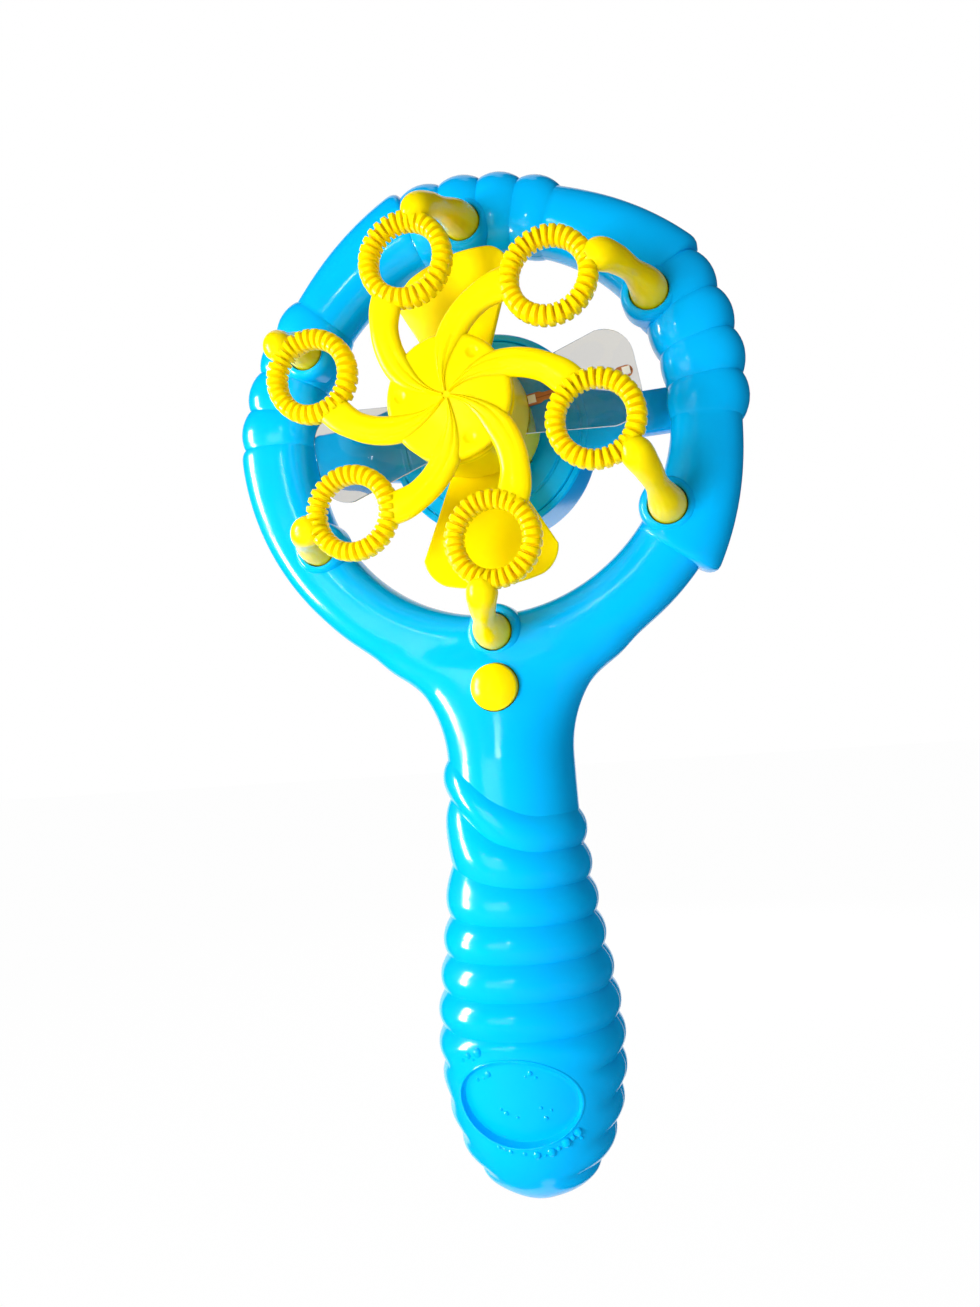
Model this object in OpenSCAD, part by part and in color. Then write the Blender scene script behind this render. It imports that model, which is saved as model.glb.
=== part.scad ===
// Hand-held bubble fan: a ring on a ribbed grip, a motor-driven fan inside the ring and, in
// front of the fan, a dipping wheel of toothed loops. Millimetres, +Z up, front towards -Y.
// The origin is the middle of the grip, on the handle's axis.

/* [Ring] */
// Radius of the opening through the ring
ring_bore_r = 54.5; // [52:0.5:58]
// Radial width of the plain ring tube
ring_w = 20.5; // [20:0.5:24]
// Depth of the ring tube, front to back
ring_depth = 19; // [18.5:0.5:20]
// How far a fin stands out of the ring at its stepped end
fin_rise = 5.5; // [3:0.5:8]
// Ribs in front of each fin
fin_ribs = 4; // [3:1:5]
// Height of a rib on the ring
ring_rib_h = 1.9; // [0.6:0.1:2.4]

/* [Handle] */
// Height of the fan's axis above the middle of the grip
fan_h = 165; // [160:1:175]
// Width of the grip at its widest place
grip_w = 50; // [48:0.5:56]
// Depth of the grip at its widest place
grip_d = 47; // [46:0.5:54]
// How far the widest place lies below the middle of the grip
grip_low = 11; // [9:0.5:15]
// Length of the rounded end below the widest place
end_len = 44.5; // [42:0.5:48]
// Width of the neck
neck_w = 37; // [36:0.5:42]
// Depth of the neck
neck_d = 33; // [32:0.5:38]
// Height of the neck's narrowest place above the middle of the grip
neck_h = 68; // [66:0.5:72]
// Radius of the flare between the neck and the ring
neck_round = 36; // [35:0.5:48]
// Distance between the ribs round the grip
grip_pitch = 9.7; // [9:0.1:14]
// Height of a rib on the grip
grip_rib_h = 1.7; // [0.8:0.1:2]
// How far the upper ribs sweep up at the left
rib_lift = 17; // [8:0.5:20]

/* [Shells] */
// Thickness of the shell walls
wall = 2.2; // [1.8:0.1:2.6]
// Clearance round pieces that are put together by hand
fit_gap = 0.3; // [0.2:0.05:0.4]
// Clearance of a turning shaft in its bore, on the radius
run_gap = 0.05; // [0.02:0.01:0.1]
// Shank radius of the shell screws
screw_r = 1.5; // [1.2:0.1:1.8]
// Length of a shell screw's shank
screw_len = 11; // [9:0.5:11.5]

/* [Badge recess] */
// Width of the oval recess on the grip
badge_w = 34; // [28:0.5:36]
// Height of the oval recess on the grip
badge_h = 24; // [18:0.5:28]
// How far its centre lies below the middle of the grip
badge_low = 22; // [18:0.5:24]
// Depth of the recess at its middle
badge_deep = 2.6; // [1.5:0.1:3]

/* [Wand wheel] */
// How far the loops stand in front of their sockets
wheel_reach = 27.5; // [25:0.5:32]
// Radius of the circle through the loops' centres
loop_circle_r = 39.7; // [37:0.1:42]
// How far the loops are turned back from their sockets, in degrees
loop_turn = 13.2; // [11:0.1:15]
// Radius of a loop, to the middle of its tube
loop_r = 10; // [9:0.1:11]
// Radius of a loop's tube, over its teeth
loop_tube_r = 2.6; // [2:0.1:3]
// Radius of the wheel's disc
disc_r = 17; // [15:0.5:19]
// Width of a curved arm
arm_w = 7.4; // [6:0.1:9]
// Thickness of a curved arm
arm_t = 3.6; // [3:0.1:4.4]
// Radius of an arm's bend
arm_bend_r = 22; // [21:0.1:24]
// Radius of the circle through the knobs
knob_circle_r = 51.5; // [50:0.1:53]
// How far the knobs are turned back from their sockets, in degrees
knob_turn = 5.5; // [4:0.1:7]
// Radius of a knob
knob_r = 4.2; // [3.6:0.1:4.8]
// Radius of a post at its waist
waist_r = 3; // [2.4:0.1:3.4]
// Radius of a post's foot
foot_r = 5.3; // [4.6:0.1:5.6]
// How far a foot goes into its socket
foot_deep = 5.5; // [4:0.5:6]
// Distance of a socket's centre from the ring's opening
socket_inset = 5.5; // [5:0.1:7]
// Width of the raised collar round a socket
collar_w = 1.6; // [1.2:0.1:2]
// Height of the collar above the ring's front
collar_h = 0.5; // [0.3:0.1:1.5]

/* [Fan] */
// Radius of the hub drum
hub_r = 17; // [16.5:0.1:18]
// Wall of the hub drum
hub_wall = 1.6; // [1.2:0.1:2]
// Gap between the blade tips and the ring's opening
blade_gap = 6.2; // [3:0.1:8]
// Width of a moulded blade at its root
blade_root_w = 16; // [12:0.5:18]
// Width of a moulded blade near its tip
blade_tip_w = 38; // [30:0.5:40]
// Thickness of a moulded blade
blade_t = 1.6; // [1.2:0.1:2]
// Pitch angle of the moulded blades
blade_pitch = 16; // [10:1:26]
// Angle of the moulded blades, clockwise from the top
blade_turn = -4; // [-8:1:8]
// Distance of the blades' middle from the drum's back
blade_back = 13.5; // [12.5:0.1:15]
// Gap between the clear blades' tips and the ring's opening
clear_gap = 6.5; // [4:0.1:8]
// Width of a clear blade at its root
clear_root_w = 17; // [14:0.5:19]
// Width of a clear blade near its tip
clear_tip_w = 27.4; // [22:0.2:30]
// Thickness of a clear blade
clear_t = 0.8; // [0.6:0.1:1]
// Angle of the clear blades, clockwise from the top
clear_turn = 82; // [75:1:100]
// Width of the light strip
strip_w = 3.4; // [2.8:0.1:4.4]
// Thickness of the light strip
strip_t = 0.3; // [0.2:0.05:0.5]
// Lamps on the light strip
lamp_count = 3; // [2:1:4]
// Distance between lamps
lamp_pitch = 13.4; // [7:0.1:13.6]
// Side of a square lamp
lamp_w = 2.2; // [1.6:0.1:2.6]
// Thickness of a lamp
lamp_t = 0.7; // [0.5:0.05:1]

/* [Motor and pod] */
// Radius of the motor pod
pod_r = 30.5; // [29:0.5:32]
// How far the pod's front lies behind the ring's middle
pod_behind = 2; // [1.5:0.1:2.5]
// Depth of the pod, front to back
pod_depth = 28; // [27.5:0.5:32]
// Thickness of the pod's wall and of its cover
pod_wall = 2; // [1.6:0.1:2.4]
// Radius of the flat at the pod's back
pod_flat_r = 12; // [9:0.5:14]
// Width of the bar where it meets the ring
bar_w = 12.6; // [10:0.2:14]
// Width of the bar where it meets the pod
bar_pod_w = 22; // [18:0.5:26]
// Depth of the bar, front to back
bar_d = 5.5; // [5:0.1:6]
// How far the bar's front lies behind the ring's middle
bar_back = 2.2; // [2:0.1:3]
// Radius of the motor can
motor_r = 12; // [11:0.1:13]
// Length of the motor can
motor_len = 17; // [16:0.5:18]
// Length of the motor's end bell
bell_len = 3; // [2.5:0.1:3.5]
// Wall of the motor can
can_wall = 0.8; // [0.6:0.1:1]
// Radius of the motor shaft
shaft_r = 1; // [0.8:0.05:1.2]
// Gap between the drum and the pod, which the feed brushes bridge
brush_gap = 3.5; // [3:0.1:4.5]

/* [Cells] */
// Radius of a cell
cell_r = 7.25; // [7:0.05:7.3]
// Length of a cell with its nub
cell_len = 50.5; // [49:0.1:51]
// Gap between two cells
cell_gap = 0.3; // [0.2:0.05:0.4]
// Free length of a contact spring when a cell presses on it
contact_len = 5; // [4:0.1:6]
// How far the foot of the cell bay lies below the middle of the grip
bay_low = 35; // [33:0.5:36]

/* [Button] */
// Radius of the push button
button_r = 6.65; // [6:0.05:7]
// How far the button's rim stands out of the shell
button_stand = 1.8; // [1.8:0.1:2.6]
// Height of the button's dome
dome_h = 2.7; // [2:0.1:3.4]
// Travel of the button
button_travel = 1.8; // [1:0.1:2]
// Length of the spring behind the button, at rest
spring_len = 7; // [6.8:0.1:7.4]
// How far the button lies below the fan's axis
button_drop = 76; // [75:0.5:78]

/* [Hidden] */

$fn = 64;
eps = 0.01;
blue = "#00a5f5";
yellow = "#ffe600";
far = 200;
skirt = 2;

// Ring: its section is a rounded box, bowed a little more than an ellipse
ring_mid_r = ring_bore_r + ring_w / 2;
ring_half_d = ring_depth / 2;
section_power = 2 / 2.5;
section_sides = 8;
fin_pitch = 72;
first_step = 273;
step_deg = 1.2;
rib_zone = 38;
rib_stations = 4;
fin_stations = 6;
plain_span = 360 - 3 * fin_pitch;
plain_step = 6;
plain_flare = 48;
zone_start = 2.2;
zone_end = -0.8;
flare_power = 1.3;
flare_rise = fin_rise - 1.5;
socket_count = 6;
socket_circle_r = ring_bore_r + socket_inset;
socket_y = -(ring_half_d + collar_h);
socket_r = foot_r + fit_gap;
socket_floor_y = socket_y + foot_deep;
collar_r = socket_r + collar_w;
cavity_r = ring_half_d - wall;
cavity_shift = ring_w / 2 - wall - cavity_r;

// Handle
end_z = -grip_low - end_len;
handle_top_z = fan_h - ring_bore_r - socket_inset;
handle_sides = 12;
handle_step = grip_pitch / 5;
handle_power = 2 / 2.15;
end_power = 2.15;
swell_power = 1.5;
end_skip = 0.6;
rib_start_z = neck_h - 15.5;
rib_lift_z = rib_start_z - 9;
rib_lift_soft = 7;
rib_fade = 8;
button_z = fan_h - button_drop;
badge_z = -badge_low;

// Cells, their cradle and the bay in the grip
cell_pitch = 2 * cell_r + cell_gap;
cell_ring_r = cell_pitch / sqrt(3);
cradle_wall = 1.2;
bay_r = cell_ring_r + cell_r + cradle_wall;
cradle_r = bay_r - fit_gap;
cradle_floor = 2;
plate_t = 0.4;
nub_h = 1.3;
nub_r = 2.75;
cradle_z = -bay_low + fit_gap;
cell_z = cradle_z + cradle_floor + plate_t + contact_len;
cradle_top_z = cell_z + cell_len + plate_t + fit_gap + cradle_floor;
bay_top_z = cradle_top_z + fit_gap;
neck_cavity_r = neck_d / 2 - wall - grip_rib_h;
throat_r = ring_half_d - wall - 0.6;
end_cavity_r = 9;
end_cavity_low = 15;
way_half = cell_pitch / 2 + cell_r + fit_gap;
door_half = way_half + 2.2;
door_seat_y = 10.7;
door_rim = 2.5;
door_low_z = cradle_z - door_rim;
bulkhead = 6.5;
bulkhead_y = 5.5;
door_top_z = bay_top_z + bulkhead + 1;
door_screw_z = bay_top_z + bulkhead / 2;
door_screw_seat = 4;
door_screw_len = 8.5;
grip_hollow_r = min(grip_w, grip_d) / 2 - wall - grip_rib_h;
grip_hollow_up = 9;

// Screws that hold the shells: angles on the ring, clockwise from the top, and heights in the grip
ring_screw_deg = [35, 138, 222, 325];
grip_screw_z = [end_z + 11, neck_h - 18];
boss_r = screw_r + 2;
head_r = screw_r + 1.3;
head_h = 2;
head_seat_y = 4.5;

// Fan, pod and motor, as places along the fan's axis
loop_y = socket_y - wheel_reach;
disc_back = 1.3;
disc_front = 2.9;
hub_front_y = loop_y + disc_back + 1.7;
hub_back_y = pod_behind - brush_gap;
cap_t = 2;
blade_y = hub_back_y - blade_back;
clear_y = blade_y - 1;
blade_tip_r = ring_bore_r - blade_gap;
clear_tip_r = ring_bore_r - clear_gap;
blade_corner = 6;
clear_corner = 9;
hub_floor = 2;
boss_step_y = hub_front_y + 11.5;
hub_boss_r = 4;
hub_step_r = 5.5;
board_t = 1.2;
slot_gap = 0.2;
clear_root_r = hub_r - hub_wall - 2;
pod_front_y = pod_behind;
pod_back_y = pod_front_y + pod_depth;
pod_round = 12;
pod_ledge = 1.5;
motor_y = pod_front_y + pod_wall + 2;
bell_y = motor_y + motor_len;
bell_back_y = bell_y + bell_len;
bar_y = bar_back;
bar_end_x = ring_bore_r + wall + 4;
lead_bore_r = 1.9;
lead_bore_y = bar_y + bar_d / 2;
lead_r = 0.7;

// Button and switch, as places behind the neck's front
neck_front_y = -(ring_half_d + (neck_d / 2 - ring_half_d)
    * (handle_top_z - button_z) / (handle_top_z - neck_h));
button_rim_y = neck_front_y - button_stand;
button_wall = 3;
flange_r = button_r + 1.5;
flange_t = 1.2;
flange_y = neck_front_y + button_wall + fit_gap;
board_y = flange_y + flange_t + spring_len;
switch_board_t = 1.6;
switch_h = 4.2;
switch_w = 6.2;
plunger_r = 1.5;
plunger_floor = 0.6;
stem_end_y = board_y - switch_h - button_travel - 0.2;
board_half_x = 5.6;
board_half_z = 11;
board_post_x = 3.6;
board_post_z = 9.5;
board_post_r = 1.4;

// Places things on the fan's axis: local z runs backwards along +Y, and local angles run
// clockwise as seen from the front, from the right
module on_fan_axis() {
    translate([0, 0, fan_h])
        rotate([-90, 0, 0])
            children();
}

// A straight round bar along Y, from y0 to y1
module peg(x, z, y0, y1, r) {
    translate([x, y0, z])
        rotate([-90, 0, 0])
            cylinder(h = y1 - y0, r = r);
}

// A round tube section along the fan's axis
module sleeve(y0, y1, r_out, r_in) {
    translate([0, 0, y0])
        difference() {
            cylinder(h = y1 - y0, r = r_out);
            translate([0, 0, -1])
                cylinder(h = y1 - y0 + 2, r = r_in);
        }
}

// Point at an angle clockwise from the top, in local coordinates of the fan's axis
function clock(r, deg, y = 0) = [r * sin(deg), -r * cos(deg), y];

// A signed power, for rounded-box sections
function bow(c, e) = sign(c) * pow(abs(c), e);

// Closed ring of faces between two loops of n points; flip turns the faces round
function band(a, b, n, flip) = [
    for (i = [0 : n - 1])
        let (j = (i + 1) % n)
            each flip
                ? [[a + i, a + j, b + j], [a + i, b + j, b + i]]
                : [[a + i, b + j, a + j], [a + i, b + i, b + j]]
];

// Angles of the ring's stations: closely set ribs, then a fin, three times, then plain tube
ring_stations = [
    for (k = [0 : 2])
        each concat(
            [for (i = [0 : rib_stations * fin_ribs - 1])
                first_step + k * fin_pitch + step_deg
                    + i * (rib_zone - step_deg) / (rib_stations * fin_ribs)],
            [for (i = [0 : fin_stations])
                first_step + k * fin_pitch + rib_zone
                    + i * (fin_pitch - rib_zone) / fin_stations]),
    for (q = [step_deg : plain_step : plain_span - plain_step / 2])
        first_step + 3 * fin_pitch + q,
    first_step + 360
];

// How far the ring's outside stands beyond the plain tube
function ring_stand(deg) =
    let (p = deg - first_step)
    p > 3 * fin_pitch
        ? flare_rise * pow(max(0, (p - 360 + plain_flare) / plain_flare), flare_power)
        : let (f = p <= 0 ? 0 : p - fin_pitch * (ceil(p / fin_pitch) - 1))
            f < rib_zone
                ? zone_start + (zone_end - zone_start) * f / rib_zone
                : zone_end + (fin_rise - zone_end)
                    * pow((f - rib_zone) / (fin_pitch - rib_zone), flare_power);

// Height of the ribs, which run round the tube
function ring_rib(deg) =
    let (p = deg - first_step, f = p - fin_pitch * floor(p / fin_pitch))
    p >= 3 * fin_pitch || f > rib_zone
        ? 0
        : ring_rib_h * pow(abs(sin(180 * fin_ribs * (f - step_deg) / (rib_zone - step_deg))), 0.7);

// One half of the ring, front (side -1) or back (side 1), with a skirt past the middle plane
module ring_half(side) {
    n = section_sides + 3;
    m = len(ring_stations);
    points = [
        for (deg = ring_stations)
            let (rib = ring_rib(deg), out = ring_w / 2 + ring_stand(deg) + rib,
                 inside = ring_w / 2 + rib / 2, deep = ring_half_d + rib / 2)
                each concat(
                    [for (i = [0 : section_sides])
                        let (t = 180 - 180 * i / section_sides,
                             r = ring_mid_r + (cos(t) < 0 ? inside : out) * bow(cos(t), section_power))
                            [r * sin(deg), side * deep * bow(sin(t), section_power), fan_h + r * cos(deg)]],
                    [for (r = [ring_mid_r + out, ring_mid_r - inside])
                        [r * sin(deg), -side * skirt, fan_h + r * cos(deg)]])
    ];
    faces = [for (j = [0 : m - 1]) each band(j * n, ((j + 1) % m) * n, n, side < 0)];
    polyhedron(points, faces, convexity = 10);
}

// Grip and neck: share of the way from the neck to the widest place
function swell(z) =
    let (u = pow(max(0, min(1, (neck_h - z) / (neck_h + grip_low))), swell_power))
    u * u * (3 - 2 * u);

// Half width and half depth of the handle without its ribs
function end_share(z) =
    z > -grip_low ? 1 : pow(1 - pow((-grip_low - z) / end_len, end_power), 1 / end_power);
function flare(z) =
    let (up = min(z - neck_h, neck_round * 0.98))
    up <= 0 ? 0 : neck_round - sqrt(neck_round * neck_round - up * up);
function handle_half_w(z) =
    end_share(z) * (neck_w + (grip_w - neck_w) * swell(z)) / 2 + flare(z);
function handle_half_d(z) =
    z > neck_h
        ? neck_d / 2 + (ring_half_d - neck_d / 2) * (z - neck_h) / (handle_top_z - neck_h)
        : end_share(z) * (neck_d + (grip_d - neck_d) * swell(z)) / 2;

// Share of the sweep at an angle, which runs from the left over the front
function rib_sweep(deg) =
    let (t = max(0, min(1, (min(deg, 360 - deg) - 20) / 105)))
    (1 + cos(180 * t)) / 2;

// Number of ribs above a place on the grip
function ribs_above(z, deg) =
    (rib_start_z - z + rib_sweep(deg) * rib_lift / (1 + exp((rib_lift_z - z) / rib_lift_soft))) / grip_pitch;

// Height of the ribs, round on top with a sharp crease between two
function grip_rib(z, deg) =
    let (p = ribs_above(z, deg), f = p - floor(p), fade = max(0, min(1, (z - end_z) / rib_fade)))
    p < 0 ? 0 : grip_rib_h * fade * (1 - pow(2 * f - 1, 2));

handle_levels = [
    for (k = [0 : floor((handle_top_z - end_z - end_skip) / handle_step)])
        end_z + end_skip + k * handle_step,
    handle_top_z
];

// One half of the handle, front (side -1) or back (side 1)
module handle_half(side) {
    n = handle_sides + 3;
    m = len(handle_levels);
    start = side < 0 ? 0 : 180;
    points = [
        for (z = handle_levels)
            each concat(
                [for (i = [0 : handle_sides])
                    let (deg = start + 180 * i / handle_sides, rib = grip_rib(z, deg))
                        [-(handle_half_w(z) + rib) * bow(cos(deg), handle_power),
                         -(handle_half_d(z) + rib) * bow(sin(deg), handle_power), z]],
                [for (i = [1, 0])
                    let (deg = start + 180 * i)
                        [-(handle_half_w(z) + grip_rib(z, deg)) * cos(deg), -side * skirt, z]])
    ];
    faces = concat(
        [[for (i = [0 : n - 1]) i]],
        [for (j = [0 : m - 2]) each band(j * n, (j + 1) * n, n, false)],
        [[for (i = [0 : n - 1]) m * n - 1 - i]]);
    polyhedron(points, faces, convexity = 10);
}

// Solid outside of one half, cut at the middle plane
module outer_half(side) {
    difference() {
        union() {
            ring_half(side);
            handle_half(side);
        }
        translate([-far, side < 0 ? 0 : -far, -far])
            cube([2 * far, far, 3 * far]);
    }
}

// Hollow inside both shells
module shell_hollow() {
    on_fan_axis()
        rotate_extrude()
            translate([ring_mid_r, 0]) {
                translate([cavity_shift, 0])
                    circle(cavity_r);
                translate([-cavity_shift, 0])
                    circle(cavity_r);
                square([2 * cavity_shift, 2 * cavity_r], center = true);
            }
    rotate_extrude()
        polygon([[0, -bay_low - end_cavity_low], [end_cavity_r, -bay_low - end_cavity_low],
            [bay_r, -bay_low], [grip_hollow_r, -grip_low - grip_hollow_up],
            [grip_hollow_r, -grip_low + grip_hollow_up], [bay_r, bay_top_z], [neck_cavity_r, neck_h - 6],
            [throat_r, fan_h - ring_mid_r], [0, fan_h - ring_mid_r]]);
}

// Repeats its children at each shell screw, with the length of the boss there
module at_screws() {
    for (deg = ring_screw_deg)
        translate([ring_mid_r * sin(deg), 0, fan_h + ring_mid_r * cos(deg)]) {
            $boss_len = ring_half_d - wall;
            children();
        }
    for (z = grip_screw_z)
        translate([0, 0, z]) {
            $boss_len = handle_half_d(z) - wall;
            children();
        }
}

// Repeats its children at each socket
module at_sockets() {
    for (k = [0 : socket_count - 1])
        rotate([0, 360 / socket_count * k, 0])
            translate([0, 0, socket_circle_r])
                children();
}

// Oval recess on the front of the grip, with a floor that is curved like the grip
module badge_cut() {
    floor_r = grip_w / 2 - badge_deep;
    front_y = -handle_half_d(badge_z) - grip_rib_h;
    difference() {
        translate([0, front_y / 3, badge_z])
            rotate([90, 0, 0])
                linear_extrude(far / 4)
                    polygon([for (t = [0 : 10 : 350]) [badge_w / 2 * cos(t), badge_h / 2 * sin(t)]]);
        translate([0, front_y + badge_deep + floor_r, badge_z - badge_h])
            cylinder(h = 2 * badge_h, r = floor_r);
    }
}

module front_shell() {
    color(blue)
        difference() {
            union() {
                difference() {
                    outer_half(-1);
                    shell_hollow();
                }
                translate([0, 0, fan_h])
                    at_sockets()
                        peg(0, 0, socket_y, socket_floor_y + wall, collar_r);
                at_screws()
                    peg(0, 0, -$boss_len, 0, boss_r);
                for (sx = [-1, 1], sz = [-1, 1])
                    peg(sx * board_post_x, button_z + sz * board_post_z, neck_front_y + wall, board_y,
                        board_post_r);
            }
            translate([0, 0, fan_h])
                at_sockets()
                    peg(0, 0, socket_y - 1, socket_floor_y, socket_r);
            at_screws()
                peg(0, 0, head_seat_y - screw_len - fit_gap, 1, screw_r + run_gap);
            peg(0, button_z, neck_front_y - wall, 0, button_r + fit_gap);
            peg(0, button_z, neck_front_y + button_wall, board_y - board_post_r, flange_r + fit_gap);
            badge_cut();
        }
}

// Box round the battery door, grown by a clearance
module door_box(gap) {
    translate([-door_half - gap, door_seat_y, door_low_z - gap])
        cube([2 * (door_half + gap), far / 4, door_top_z - door_low_z + 2 * gap]);
}

module rear_shell() {
    color(blue)
        difference() {
            union() {
                difference() {
                    outer_half(1);
                    shell_hollow();
                    door_box(fit_gap);
                    translate([-way_half, cell_pitch / 4, cradle_z])
                        cube([2 * way_half, far / 4, cradle_top_z - cradle_z]);
                }
                at_screws()
                    peg(0, 0, 0, $boss_len, boss_r + 1);
                intersection() {
                    translate([0, 0, bay_top_z])
                        cylinder(h = bulkhead, r = bay_r + wall / 2);
                    translate([-far, bulkhead_y, 0])
                        cube([2 * far, door_seat_y - bulkhead_y, far]);
                }
            }
            at_screws()
                peg(0, 0, -1, head_seat_y + eps, screw_r + fit_gap);
            at_screws()
                peg(0, 0, head_seat_y, far / 4, head_r + fit_gap);
            peg(0, door_screw_z, 3, far / 4, screw_r + run_gap);
            for (s = [-1, 1])
                translate([s > 0 ? ring_bore_r - wall : -bar_end_x - fit_gap, bar_y - fit_gap,
                           fan_h - bar_w / 2 - fit_gap])
                    cube([bar_end_x - ring_bore_r + wall + fit_gap, bar_d + 2 * fit_gap,
                          bar_w + 2 * fit_gap]);
        }
}

module battery_door() {
    color(blue)
        difference() {
            intersection() {
                handle_half(1);
                door_box(0);
            }
            shell_hollow();
            peg(0, door_screw_z, 0, far / 4, screw_r + fit_gap);
            peg(0, door_screw_z, door_seat_y + door_screw_seat, far / 4, head_r + fit_gap);
        }
}

// A pan-head screw that points towards the front
module screw(length) {
    difference() {
        union() {
            peg(0, 0, -length, 0, screw_r);
            peg(0, 0, 0, head_h, head_r);
        }
        for (turn = [0, 90])
            translate([0, head_h, 0])
                rotate([0, turn, 0])
                    cube([2 * head_r - 1.6, 2, 0.7], center = true);
    }
}

module door_screw() {
    color("silver")
        translate([0, door_seat_y + door_screw_seat, door_screw_z])
            screw(door_screw_len);
}

module shell_screws() {
    color("silver")
        at_screws()
            translate([0, head_seat_y, 0])
                screw(screw_len);
}

// One loop, measured to the tops of its fine teeth
module loop() {
    rotate_extrude()
        translate([loop_r, 0])
            circle(loop_tube_r);
}

// Outline of one curved arm, from inside the disc to a loop at the given angle
module arm_outline(loop_deg) {
    reach = loop_circle_r - loop_r + loop_tube_r;
    lag = 61.9;
    middle = clock(arm_bend_r, loop_deg + 90 - lag);
    first = 2 * asin(0.5 * disc_r / 2 / arm_bend_r);
    last = 2 * asin(reach / 2 / arm_bend_r);
    translate([middle[0], middle[1]])
        rotate(loop_deg - lag - 180)
            intersection() {
                difference() {
                    circle(arm_bend_r + arm_w / 2);
                    circle(arm_bend_r - arm_w / 2);
                }
                polygon([[0, 0], 2 * arm_bend_r * [cos(first), sin(first)],
                    2 * arm_bend_r * [cos((first + last) / 2), sin((first + last) / 2)],
                    2 * arm_bend_r * [cos(last), sin(last)]]);
            }
}

// One post, turned about the line from its knob beside a loop to its foot in a socket
module post(socket_deg) {
    knob = clock(knob_circle_r, socket_deg - knob_turn, loop_y - 1.5);
    foot = clock(socket_circle_r, socket_deg, socket_y - 1);
    run = foot - knob;
    length = norm(run);
    translate(knob)
        rotate([0, acos(run[2] / length), atan2(run[1], run[0])])
            rotate_extrude()
                polygon([[0, -knob_r], [0.5 * knob_r, -0.88 * knob_r], [0.87 * knob_r, -0.5 * knob_r],
                    [knob_r, 0], [0.9 * knob_r, 0.6 * knob_r], [waist_r, 0.45 * length],
                    [waist_r, 0.6 * length], [0.8 * foot_r, 0.85 * length], [0.86 * foot_r, length], [0, length]]);
    translate([foot[0], foot[1], socket_y - 2.2])
        cylinder(h = foot_deep + 2.2, r = foot_r);
}

module wand_wheel() {
    color(yellow)
        on_fan_axis() {
            translate([0, 0, loop_y])
                rotate_extrude()
                    polygon([[0, -disc_front], [disc_r * 0.4, -disc_front * 0.9],
                        [disc_r * 0.9, -disc_front * 0.5], [disc_r, -disc_front * 0.1],
                        [disc_r, disc_back], [0, disc_back]]);
            translate([0, 0, loop_y - arm_t / 2])
                linear_extrude(arm_t)
                    for (k = [0 : socket_count - 1])
                        arm_outline(360 / socket_count * k - loop_turn);
            for (k = [0 : socket_count - 1]) {
                deg = 360 / socket_count * k;
                translate(clock(loop_circle_r, deg - loop_turn, loop_y))
                    loop();
                post(deg);
            }
        }
}

// Outline of a blade that widens outwards and has a round-cornered tip; y is the radius.
// A bowed tip follows the circle that it sweeps.
module blade_outline(root_r, root_w, tip_r, tip_w, corner, bowed = false) {
    wide = tip_w / 2;
    flat = wide - corner;
    tip = concat(
        [for (t = [180 : -15 : 90]) [corner * cos(t) - flat, tip_r - corner + corner * sin(t)]],
        bowed ? [for (k = [1 : 7]) [flat * (k / 4 - 1), tip_r]] : [],
        [for (t = [90 : -15 : 0]) [corner * cos(t) + flat, tip_r - corner + corner * sin(t)]]);
    polygon(concat(
        [[-root_w / 2, root_r]],
        [for (p = tip) bowed ? [p[0], p[1] - tip_r + sqrt(tip_r * tip_r - p[0] * p[0])] : p],
        [[root_w / 2, root_r]]));
}

// Stands a blade outline up at an angle, clockwise from the top, around the fan's axis
module stand_blade(deg, y, pitch, thick) {
    translate([0, y, fan_h])
        rotate([0, deg, 0])
            rotate([90, 0, pitch])
                translate([0, 0, -thick / 2])
                    linear_extrude(thick)
                        children();
}

module fan_hub() {
    color(yellow)
        difference() {
            union() {
                on_fan_axis() {
                    sleeve(hub_front_y + cap_t, hub_back_y, hub_r, hub_r - hub_wall);
                    translate([0, 0, hub_back_y - hub_floor])
                        cylinder(h = hub_floor, r = hub_r - hub_wall / 2);
                    translate([0, 0, boss_step_y])
                        cylinder(h = hub_back_y - boss_step_y, r = hub_step_r);
                    translate([0, 0, boss_step_y - 3])
                        cylinder(h = hub_back_y - boss_step_y, r = hub_boss_r);
                }
                difference() {
                    for (deg = [blade_turn, blade_turn + 180])
                        stand_blade(deg, blade_y, -blade_pitch, blade_t)
                            blade_outline(hub_r - hub_wall, blade_root_w, blade_tip_r, blade_tip_w,
                                blade_corner, true);
                    on_fan_axis()
                        translate([0, 0, hub_front_y])
                            cylinder(h = hub_back_y - hub_front_y, r = hub_r - hub_wall / 2);
                }
            }
            on_fan_axis()
                translate([0, 0, hub_front_y])
                    cylinder(h = hub_back_y - hub_front_y + 1, r = shaft_r + run_gap / 2);
            for (deg = [clear_turn, clear_turn + 180])
                translate([0, clear_y, fan_h])
                    rotate([0, deg, 0])
                        translate([-clear_root_w / 2 - slot_gap, -clear_t / 2 - strip_t - slot_gap,
                                   hub_step_r + 2])
                            cube([clear_root_w + 2 * slot_gap, clear_t + strip_t + 2 * slot_gap, hub_r]);
        }
}

module hub_cap() {
    color(yellow)
        on_fan_axis() {
            translate([0, 0, hub_front_y])
                cylinder(h = cap_t, r = hub_r);
            sleeve(hub_front_y + cap_t, hub_front_y + cap_t + 3, hub_r - hub_wall - fit_gap / 2,
                hub_r - 2 * hub_wall - fit_gap / 2);
        }
}

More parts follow.
